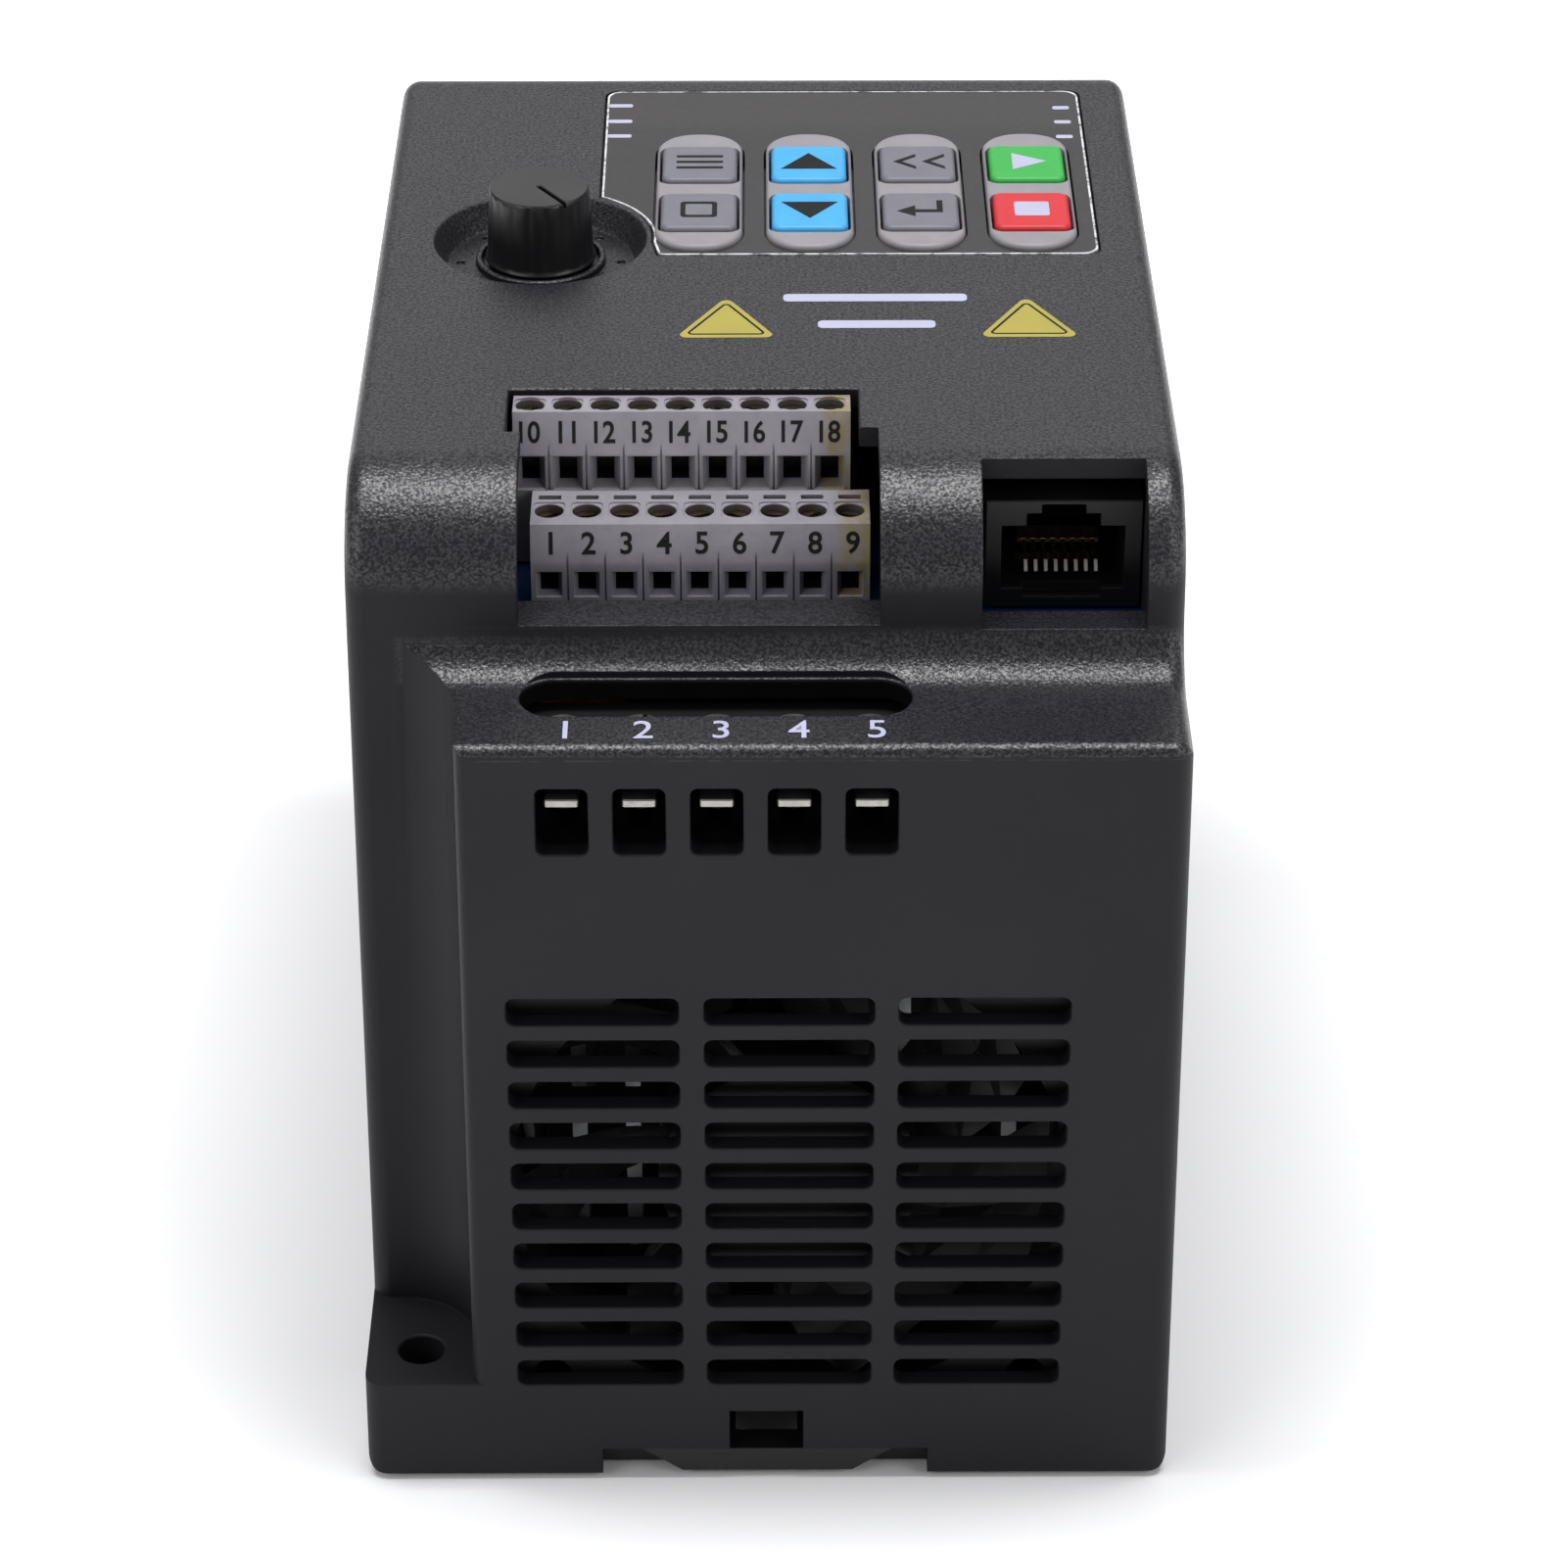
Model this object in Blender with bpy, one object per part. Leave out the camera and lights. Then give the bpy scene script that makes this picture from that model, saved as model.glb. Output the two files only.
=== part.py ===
"""Compact variable frequency drive, lying on its back with the front panel up.

Frame: X across the width, Y along the length (the cooling grille is the -Y end),
Z from the back (0) up to the front panel. The origin is the centre of the back face.
Every helper takes millimetres, with Y counted from the grille end face.
"""

import math

import bmesh
import bpy
from mathutils import Matrix, Vector

# ----------------------------------------------------------------- dimensions
MM = 0.001
WIDTH = 85.0          # overall width at the back
LENGTH = 141.5        # overall length
DEPTH = 109.0         # back to front panel
WALL = 2.2            # moulded wall
DRAFT = 0.85 / 42.5 / 109.0   # side walls lean in by 0.85 mm over the depth
GAP = 0.3             # gap between touching pieces

LEDGE_Z = 90.5        # height of the terminal ledges at the foot of the panel
STEP_Y = 15.3         # set-back of the raised panel from each end face
FRONT_R = 11.5        # rounding along the near edge of the panel
FAR_R = 9.0           # rounding along the far edge of the panel
SIDE_R = 2.0          # rounding of the side edges

EAR_X = -31.0         # side of the grille box next to the mounting ear
EAR_Z = 12.1          # height of the mounting ears
EAR_HOLE = (-36.7, 6.2)
EAR_HOLE_R = 2.4

GRILLE_COLUMNS = ((-26.2, -8.8), (-6.3, 10.9), (13.3, 30.6))
GRILLE_ROWS = 10
GRILLE_FIRST_Z = 13.65
GRILLE_PITCH = 5.05
SLOT_HEIGHT = 3.2

POLE_PITCH = 7.62     # power terminals
OUT_FIRST_X = -20.07
OUT_POLES = 5
IN_POLES = 3
WINDOW_W = 5.2
WINDOW_Z = (77.7, 85.25)
SCREW_Y = 9.35

WAY_PITCH = 3.81      # control terminals
WAYS = 9
LOWER_X = -21.9
UPPER_X = -23.9

DIAL = (-24.2, 76.1)
DIAL_R = 11.4
DIAL_DEPTH = 2.9
POINTER_DEG = -57.0

KEY_X = (-7.1, 5.0, 17.1, 29.2)
KEY_Y = (93.6, 81.0)
KEY_W, KEY_L = 8.4, 9.2
FILM = (-18.1, 36.3, 71.5, 116.0)

FAN_C = (2.3, 36.2)   # fan axis, X and Z
FAN_Y = (2.9, 17.9)
FAN_SIZE = 60.0
BLADES = 7

RAIL_Y = (54.2, 89.8)  # 35 mm rail channel
RAIL_Z = 4.8
CLIP_TRAVEL = 5.0

# ----------------------------------------------------------------- clean start
for _o in list(bpy.data.objects):
    bpy.data.objects.remove(_o, do_unlink=True)
for _c in list(bpy.data.collections):
    bpy.data.collections.remove(_c)
PARTS = bpy.data.collections.new("variable_frequency_drive")
CUTS = bpy.data.collections.new("cutters")
bpy.context.scene.collection.children.link(PARTS)
bpy.context.scene.collection.children.link(CUTS)


# ----------------------------------------------------------------- helpers
def place(v, axis):
    """Turns an outline point (u, v) at height w into model metres."""
    u, w, h = v
    if axis == "Z":
        x, y, z = u, w, h
    elif axis == "Y":
        x, y, z = u, h, w
    else:
        x, y, z = h, u, w
    return Vector((x * MM, (y - LENGTH / 2) * MM, z * MM))


def link(name, bm, draft=False, coll=None):
    bmesh.ops.remove_doubles(bm, verts=bm.verts, dist=1e-7)
    bmesh.ops.recalc_face_normals(bm, faces=bm.faces)
    if draft:
        for v in bm.verts:
            v.co.x *= 1.0 - DRAFT * v.co.z / MM
    me = bpy.data.meshes.new(name)
    bm.to_mesh(me)
    bm.free()
    ob = bpy.data.objects.new(name, me)
    (coll or CUTS).objects.link(ob)
    if (coll or CUTS) is CUTS:
        ob.hide_render = True
        ob.display_type = "WIRE"
    return ob


def outline(corners, seg=3):
    """Corner points with radii, as a polygon with each corner rounded."""
    pts = []
    n = len(corners)
    for i, (x, y, r) in enumerate(corners):
        if r <= 0:
            pts.append((x, y))
            continue
        p = Vector((x, y))
        u = (Vector(corners[i - 1][:2]) - p).normalized()
        v = (Vector(corners[(i + 1) % n][:2]) - p).normalized()
        phi = u.angle(v)
        c = p + (u + v).normalized() * (r / math.sin(phi / 2))
        s = p + u * (r / math.tan(phi / 2)) - c
        e = p + v * (r / math.tan(phi / 2)) - c
        a0 = math.atan2(s.y, s.x)
        turn = (math.atan2(e.y, e.x) - a0 + math.pi) % (2 * math.pi) - math.pi
        for k in range(seg + 1):
            a = a0 + turn * k / seg
            pts.append((c.x + r * math.cos(a), c.y + r * math.sin(a)))
    return pts


def inset(corners, d):
    """The same corners with every edge moved inwards by d."""
    n = len(corners)
    area = sum(corners[i - 1][0] * corners[i][1] - corners[i][0] * corners[i - 1][1] for i in range(n))
    side = 1.0 if area > 0 else -1.0
    out = []
    for i, (x, y, r) in enumerate(corners):
        a, p, b = Vector(corners[i - 1][:2]), Vector((x, y)), Vector(corners[(i + 1) % n][:2])
        e1, e2 = (p - a).normalized(), (b - p).normalized()
        n1, n2 = Vector((-e1.y, e1.x)) * side, Vector((-e2.y, e2.x)) * side
        q = p + (n1 + n2) * (d / (1.0 + n1.dot(n2)))
        convex = (e1.x * e2.y - e1.y * e2.x) * side > 0
        r2 = 0.0 if r <= 0 else max(0.05, r - d if convex else r + d)
        out.append((q.x, q.y, r2))
    return out


def loft(name, corners, levels, axis="Z", seg=3, draft=False, coll=None):
    """Rings of one outline at several heights, each moved inwards by its own inset."""
    bm = bmesh.new()
    rings = []
    for h, d in levels:
        pts = outline(inset(corners, d) if d else corners, seg)
        rings.append([bm.verts.new(place((u, w, h), axis)) for u, w in pts])
    n = len(rings[0])
    for lo, hi in zip(rings, rings[1:]):
        for i in range(n):
            bm.faces.new((lo[i], lo[(i + 1) % n], hi[(i + 1) % n], hi[i]))
    bm.faces.new(rings[0])
    bm.faces.new(rings[-1])
    return link(name, bm, draft, coll)


def edge_round(lo, hi, r, seg):
    """Levels of a loft from lo to hi whose two rims are rounded by r."""
    up = [(lo + r * (1 - math.cos(a)), r * (1 - math.sin(a))) for a in (math.pi / 2 * k / seg for k in range(seg + 1))]
    down = [(hi - (h - lo), d) for h, d in reversed(up)]
    return up + down


def prism(name, pts, lo, hi, axis="Z", draft=False, coll=None):
    """A flat outline as a filled 2D curve, extruded, as a mesh."""
    cu = bpy.data.curves.new(name, "CURVE")
    cu.dimensions = "2D"
    cu.fill_mode = "BOTH"
    cu.extrude = (hi - lo) / 2
    sp = cu.splines.new("POLY")
    sp.points.add(len(pts) - 1)
    for p, (u, w) in zip(sp.points, pts):
        p.co = (u, w, 0.0, 1.0)
    sp.use_cyclic_u = True
    tmp = bpy.data.objects.new(name + "_outline", cu)
    CUTS.objects.link(tmp)
    dg = bpy.context.evaluated_depsgraph_get()
    me = bpy.data.meshes.new_from_object(tmp.evaluated_get(dg))
    bm = bmesh.new()
    bm.from_mesh(me)
    bmesh.ops.remove_doubles(bm, verts=bm.verts, dist=1e-5)
    mid = (lo + hi) / 2
    for v in bm.verts:
        v.co = place((v.co.x, v.co.y, v.co.z + mid), axis)
    bpy.data.objects.remove(tmp, do_unlink=True)
    bpy.data.curves.remove(cu)
    bpy.data.meshes.remove(me)
    return link(name, bm, draft, coll)


def box(name, x, y, z, draft=False, coll=None):
    bm = bmesh.new()
    bmesh.ops.create_cube(bm, size=1.0)
    for v in bm.verts:
        v.co = place(((v.co.x + 0.5) * (x[1] - x[0]) + x[0], (v.co.y + 0.5) * (y[1] - y[0]) + y[0], (v.co.z + 0.5) * (z[1] - z[0]) + z[0]), "Z")
    return link(name, bm, draft, coll)


def cyl(name, c, lo, hi, r1, r2=None, axis="Z", seg=24, coll=None):
    """A cylinder or cone; c is its centre in the plane across the axis."""
    bm = bmesh.new()
    bmesh.ops.create_cone(bm, cap_ends=True, segments=seg, radius1=r1, radius2=r1 if r2 is None else r2, depth=hi - lo)
    for v in bm.verts:
        v.co = place((v.co.x + c[0], v.co.y + c[1], v.co.z + (lo + hi) / 2), axis)
    return link(name, bm, False, coll)


def half_turn(ob, name):
    """A copy turned half round about the vertical centre line."""
    me = ob.data.copy()
    me.transform(Matrix.Rotation(math.pi, 4, "Z"))
    me.name = name
    new = bpy.data.objects.new(name, me)
    for c in ob.users_collection:
        c.objects.link(new)
    new.hide_render, new.display_type = ob.hide_render, ob.display_type
    return new


def boolean(target, tools, op="DIFFERENCE", solver="EXACT"):
    """Boolean modifiers, applied to the target's mesh."""
    for t in tools if isinstance(tools, (list, tuple)) else [tools]:
        m = target.modifiers.new(t.name, "BOOLEAN")
        m.operation, m.solver, m.object = op, solver, t
        if op == "UNION":
            t.hide_render = True
    dg = bpy.context.evaluated_depsgraph_get()
    me = bpy.data.meshes.new_from_object(target.evaluated_get(dg))
    target.modifiers.clear()
    old = target.data
    target.data = me
    me.name = target.name
    bpy.data.meshes.remove(old)
    bm = bmesh.new()
    bm.from_mesh(me)
    bmesh.ops.remove_doubles(bm, verts=bm.verts, dist=1e-6)
    bmesh.ops.dissolve_degenerate(bm, edges=bm.edges, dist=1e-6)
    bmesh.ops.dissolve_limit(bm, angle_limit=0.0005, verts=bm.verts, edges=bm.edges)
    bm.to_mesh(me)
    bm.free()
    for t in tools if isinstance(tools, (list, tuple)) else [tools]:
        if t.name.startswith("x_"):
            bpy.data.objects.remove(t, do_unlink=True)
    return target


def group(name, obs):
    """Several cutters as one object."""
    bm = bmesh.new()
    for o in obs:
        bm.from_mesh(o.data)
    for o in obs:
        bpy.data.objects.remove(o, do_unlink=True)
    me = bpy.data.meshes.new(name)
    bm.to_mesh(me)
    bm.free()
    ob = bpy.data.objects.new(name, me)
    CUTS.objects.link(ob)
    ob.hide_render, ob.display_type = True, "WIRE"
    return ob


MATS = {}


def finish(ob, colour, rough=0.5, metal=0.0, smooth=False, origin=None):
    """Moves a finished piece into the parts, with its own material."""
    for c in list(ob.users_collection):
        c.objects.unlink(ob)
    PARTS.objects.link(ob)
    ob.hide_render, ob.display_type = False, "TEXTURED"
    m = bpy.data.materials.new(ob.name)
    m.use_nodes = True
    b = m.node_tree.nodes["Principled BSDF"]
    b.inputs["Base Color"].default_value = (*colour, 1.0)
    b.inputs["Roughness"].default_value = rough
    b.inputs["Metallic"].default_value = metal
    ob.data.materials.clear()
    ob.data.materials.append(m)
    if smooth:
        ob.data.shade_smooth()
        ob.data.set_sharp_from_angle(angle=math.radians(35))
    if origin is not None:
        o = place(origin, "Z")
        ob.data.transform(Matrix.Translation(-o))
        ob.location = o
    return ob


def stadium(x, y, seg=4):
    """A slot outline with round ends along its longer side."""
    r = min(x[1] - x[0], y[1] - y[0]) / 2
    return outline([(x[0], y[0], r * 0.999), (x[1], y[0], r * 0.999), (x[1], y[1], r * 0.999), (x[0], y[1], r * 0.999)], seg)


def rect(x, y, r=0.0):
    return [(x[0], y[0], r), (x[1], y[0], r), (x[1], y[1], r), (x[0], y[1], r)]


PLASTIC = (0.040, 0.040, 0.045)
DARK = (0.012, 0.012, 0.013)
STEEL = (0.55, 0.55, 0.56)
BRASS = (0.60, 0.47, 0.22)
LILAC = (0.42, 0.41, 0.45)
PCB = (0.02, 0.10, 0.30)
ALU = (0.60, 0.61, 0.62)


# ----------------------------------------------------------------- housing
def ear_cut(grow, z0, z1, name):
    """The open corner over a mounting ear; grow widens it by the wall."""
    if grow:
        c = [(-60, -20, 0), (EAR_X + grow, -20, 0), (EAR_X + grow, STEP_Y + grow, 8.0), (-60, STEP_Y + grow, 0)]
    else:
        c = [(-60, -20, 0), (EAR_X, -20, 0), (EAR_X, STEP_Y - 0.05, 8.0), (-WIDTH / 2, STEP_Y - 0.05, SIDE_R), (-WIDTH / 2, 19.0, 0), (-60, 19.0, 0)]
    return prism(name, outline(c, 5), z0, z1, draft=True)


def make_housing():
    profile = [(0, 0, 0.5), (0, LEDGE_Z - 0.7, 1.3), (STEP_Y, LEDGE_Z, 5.0), (STEP_Y, DEPTH, FRONT_R),
               (LENGTH - STEP_Y, DEPTH, FAR_R), (LENGTH - STEP_Y, LEDGE_Z, 5.0), (LENGTH, LEDGE_Z - 0.7, 1.3), (LENGTH, 0, 0.5)]
    body = loft("front_housing", profile, edge_round(-WIDTH / 2, WIDTH / 2, SIDE_R, 3), "X", 5, draft=True)

    w = WALL
    inner = [(w, -8, 0), (w, LEDGE_Z - 0.7 - w, 0), (STEP_Y + w, LEDGE_Z - w, 0), (STEP_Y + w, DEPTH - w, FRONT_R - w),
             (LENGTH - STEP_Y - w, DEPTH - w, FAR_R - w), (LENGTH - STEP_Y - w, LEDGE_Z - w, 0), (LENGTH - w, LEDGE_Z - 0.7 - w, 0), (LENGTH - w, -8, 0)]
    cavity = loft("x_cavity", inner, [(-WIDTH / 2 + w, 0), (WIDTH / 2 - w, 0)], "X", 4, draft=True)
    # what stays solid inside the cavity
    keep = [ear_cut(w, -20, 130, "x_k0")]
    keep.append(half_turn(keep[0], "x_k1"))
    for i, (x, y) in enumerate(BASE_SCREWS):
        sx = 1 if x > 0 else -1
        keep.append(box("x_post%d" % i, tuple(sorted((x - sx * 3.4, sx * 60))), (y - 3.4, y + 3.4) if 20 < y < 120 else ((-5, y + 3.4) if y < 20 else (y - 3.4, 150)), (7.4, 25)))
    keep.append(cyl("x_dish", DIAL, DEPTH - DIAL_DEPTH - 2.0, DEPTH + 1, 11.9, seg=40))
    keep.append(box("x_sill", (-27, 13.6), (10, 20.5), (92.4, 95.0)))
    keep.append(box("x_floor", (19.2, 60), (10, 19.2), (92.1, 94.4)))
    keep.append(box("x_cheek_l", (19.2, 21.4), (10, 24.4), (92.1, 120)))
    keep.append(box("x_cheek_r", (38.0, 60), (10, 24.4), (92.1, 120)))
    boolean(cavity, keep)

    pocket = ear_cut(0, EAR_Z, 130, "x_ear_near")
    cuts = [cavity, pocket, half_turn(pocket, "x_ear_far")]
    cuts.append(cyl("x_hole_n", EAR_HOLE, -5, 30, EAR_HOLE_R, seg=20))
    cuts.append(cyl("x_hole_f", (-EAR_HOLE[0], LENGTH - EAR_HOLE[1]), -5, 30, EAR_HOLE_R, seg=20))
    boolean(body, cuts)

    # cooling grilles: ten rows at the fan end, eight at the outlet end
    slots = []
    for row in range(GRILLE_ROWS):
        z = GRILLE_FIRST_Z + GRILLE_PITCH * row
        for k, (x0, x1) in enumerate(GRILLE_COLUMNS):
            r = outline(rect((x0, x1), (z - SLOT_HEIGHT / 2, z + SLOT_HEIGHT / 2), 0.9), 1)
            slots.append(prism("x_s%d_%d" % (row, k), r, -5, WALL + 1.5, "Y"))
            if row > 1:
                r = outline(rect((-x1, -x0), (z - SLOT_HEIGHT / 2, z + SLOT_HEIGHT / 2), 0.9), 1)
                slots.append(prism("x_t%d_%d" % (row, k), r, LENGTH - WALL - 1.5, LENGTH + 5, "Y"))
    # wire windows
    for i in range(OUT_POLES):
        x = OUT_FIRST_X + POLE_PITCH * i
        slots.append(prism("x_w%d" % i, outline(rect((x - WINDOW_W / 2, x + WINDOW_W / 2), WINDOW_Z, 0.8), 2), -5, WALL + 0.6, "Y"))
    for i in range(IN_POLES):
        x = -OUT_FIRST_X - POLE_PITCH * i
        slots.append(prism("x_v%d" % i, outline(rect((x - WINDOW_W / 2, x + WINDOW_W / 2), WINDOW_Z, 0.8), 2), LENGTH - WALL - 0.6, LENGTH + 5, "Y"))
    boolean(body, group("x_slots", slots))

    # screwdriver slots in the ledges
    tops = [prism("x_a", stadium((-24.35, 14.5), (5.9, 12.8), 4), 86.5, 130)]
    tops.append(prism("x_b", stadium((0.5, 24.35), (LENGTH - 12.8, LENGTH - 5.9), 4), 86.5, 130))
    # opening over the control terminals, and the notch over the network jack
    tops.append(box("x_c", (-26.1, 9.5), (30.4, 39.7), (96.0, 130)))
    boolean(body, group("x_tops", tops))
    boolean(body, box("x_d", (-24.6, 11.4), (-5, 31.0), (95.0, 130)))
    boolean(body, box("x_e", (21.5, 37.9), (-5, 24.5), (94.5, 130)))

    # keypad film recess, key slots and display window
    boolean(body, prism("x_f", film_outline(0.0), DEPTH - 0.8, DEPTH + 5))
    holes = [prism("x_g%d" % i, stadium((x - 5.1, x + 5.1), (72.3, 103.0), 5), 104, DEPTH + 5) for i, x in enumerate(KEY_X)]
    holes.append(box("x_h", (-10.3, 31.8), (104.6, 114.6), (104, DEPTH + 5)))
    boolean(body, group("x_keys", holes))

    # dial recess with a low collar round the bush
    dish = cyl("x_dishcut", DIAL, DEPTH - DIAL_DEPTH, DEPTH + 3, DIAL_R - 1.1, DIAL_R + 1.1 * 3 / DIAL_DEPTH, seg=40)
    collar = cyl("x_collar", DIAL, DEPTH - 10, DEPTH - DIAL_DEPTH + 0.9, 7.0, seg=32)
    boolean(dish, collar)
    boolean(body, [dish, cyl("x_cup", DIAL, DEPTH - DIAL_DEPTH, DEPTH, 6.4, seg=32), cyl("x_bush", DIAL, 100, DEPTH, 3.85, seg=24)])

    # rail clip mouth, release notch and the rail channel through both sides
    boolean(body, [box("x_m", (-17.5, 17.0), (-5, 5), (-5, 3.5)), box("x_n", (-4.0, 3.8), (-5, 5), (-4, 8.6)),
                   box("x_r", (-60, 60), RAIL_Y, (-5, RAIL_Z))])
    # blind holes in the screw posts
    boolean(body, [cyl("x_p%d" % i, c, 5, 20, 1.7, seg=12) for i, c in enumerate(BASE_SCREWS)])
    finish(body, PLASTIC, 0.6)


def film_outline(d):
    """Keypad film outline, d smaller all round; an arc round the dial takes its corner."""
    x0, x1, y0, y1 = FILM
    cx, cy = DIAL
    r = math.hypot(x0 - cx, 86.5 - cy) + d
    a0 = math.asin((86.5 - cy) / math.hypot(x0 - cx, 86.5 - cy))
    a1 = math.asin((y0 + 3.6 - cy) / r)
    arc = [(cx + r * math.cos(a0 + (a1 - a0) * k / 8), cy + r * math.sin(a0 + (a1 - a0) * k / 8)) for k in range(9)]
    arc[0] = (x0 + d, cy + math.sqrt(max(r * r - (x0 + d - cx) ** 2, 0)))
    body = outline([(arc[-1][0] + 0.6, y0 + d, 0.4), (x1 - d, y0 + d, 1.6), (x1 - d, y1 - d, 1.6), (x0 + d, y1 - d, 1.6), (x0 + d, 100, 0)], 3)
    return body + arc


BASE_SCREWS = ((-36.4, 24.5), (36.4, 7.0), (36.4, LENGTH - 24.5), (-36.4, LENGTH - 7.0))


def make_base():
    g = GAP
    x = WIDTH / 2 - WALL - g - 0.2
    w = WALL + g
    corners = [(EAR_X + WALL + g, w), (x, w), (x, LENGTH - 17.5 - g), (-EAR_X - WALL - g, LENGTH - 17.5 - g), (-EAR_X - WALL - g, LENGTH - w), (-x, LENGTH - w), (-x, 17.5 + g), (EAR_X + WALL + g, 17.5 + g)]
    base = prism("rear_base", corners, 0.0, 7.0)
    y0, y1 = RAIL_Y
    cuts = [box("x_1", (-60, 60), (-5, y0 - 4), (5.6, 20)), box("x_2", (-60, 60), (y1 + 4, 160), (5.6, 20)),
            box("x_3", (-60, 60), RAIL_Y, (-5, RAIL_Z)),
            box("x_4", (-14.0, 14.0), (y1 - 1, y1 + 2.0), (3.3, RAIL_Z - 0.01))]
    boolean(base, cuts)
    # dovetail guide for the rail clip, its spring pocket and the release notch
    dove = [(-9.4, -1.0), (9.4, -1.0), (9.4, 0.0), (13.9, 3.6), (-13.9, 3.6), (-9.4, 0.0)]
    guide = prism("x_5", dove, -5, y0 + 2, "Y")
    stop = box("x_6", (-2.6, 2.6), (23.0, 25.0), (0.4, 9))
    boolean(guide, stop)
    pocket = box("x_7", (-2.7, 2.7), (25.0, 46.0), (2, 5.0))
    notch = box("x_8", (-4.0, 3.8), (-5, 14), (2, 20))
    boolean(base, [guide, pocket, notch])
    # lightening pockets in the underside
    boolean(base, group("x_l", [box("x_l%d" % i, a, b, (-5, 3.2)) for i, (a, b) in enumerate((
        ((18, 31), (15, 48)), ((-31, -18), (22, 48)), ((18, 31), (96, 112)), ((-31, -18), (96, 124)), ((-13, 13), (96, 132))))]))
    holes = []
    for i, c in enumerate(BASE_SCREWS):
        holes += [cyl("x_h%d" % i, c, -5, 20, 1.7, seg=12), cyl("x_c%d" % i, c, -5, 2.9, 3.2, seg=16)]
    boolean(base, holes)
    finish(base, PLASTIC, 0.6)
    for i, c in enumerate(BASE_SCREWS):
        s = cyl("base_screw_%d" % (i + 1), c, 0.4, 2.6, 2.8, seg=16)
        shaft = cyl("x_s", c, 2.0, 15.0, 1.35, seg=12)
        boolean(s, shaft, "UNION")
        boolean(s, [box("x_a", (c[0] - 1.6, c[0] + 1.6), (c[1] - 0.35, c[1] + 0.35), (-1, 1.5))])
        finish(s, STEEL, 0.3, 1.0)


def make_clip():
    y0 = RAIL_Y[0]
    dove = [(-9.0, 0.3), (9.0, 0.3), (13.3, 3.2), (-13.3, 3.2)]
    clip = prism("din_clip", dove, 0.4, y0 + 1.8, "Y")
    window = box("x_1", (-3.0, 3.0), (22.7, 46.0), (-1, 9))
    pull = box("x_2", (-3.4, 3.2), (3.6, 11.0), (-1, 9))
    tip = prism("x_3", [(y0 + 0.3, -1.0), (y0 + 4, -1.0), (y0 + 4, 3.0)], -20, 20, "X")
    sides = [box("x_4", (-20, -9.5), (48.0, y0 + 3), (-1, 9)), box("x_5", (9.5, 20), (48.0, y0 + 3), (-1, 9))]
    boolean(clip, [window, pull, tip] + sides)
    finish(clip, PLASTIC, 0.55, origin=(0, y0, 0))

    # coil spring between the base's stop and the far edge of the clip's window
    turns, r, wire = 7, 1.75, 0.28
    cu = bpy.data.curves.new("din_spring", "CURVE")
    cu.dimensions = "3D"
    cu.bevel_depth = wire * MM
    cu.bevel_resolution = 1
    cu.use_fill_caps = True
    sp = cu.splines.new("POLY")
    n = turns * 9
    sp.points.add(n)
    for k in range(n + 1):
        a = 2 * math.pi * turns * k / n
        p = place((r * math.cos(a), 25.0 + 0.6 + 19.9 * k / n, 2.75 + r * math.sin(a)), "Z")
        sp.points[k].co = (*p, 1.0)
    tmp = bpy.data.objects.new("spring_wire", cu)
    CUTS.objects.link(tmp)
    dg = bpy.context.evaluated_depsgraph_get()
    me = bpy.data.meshes.new_from_object(tmp.evaluated_get(dg))
    bm = bmesh.new()
    bm.from_mesh(me)
    bmesh.ops.remove_doubles(bm, verts=bm.verts, dist=1e-6)
    bpy.data.objects.remove(tmp, do_unlink=True)
    bpy.data.meshes.remove(me)
    finish(link("din_spring", bm), STEEL, 0.3, 1.0)


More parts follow.
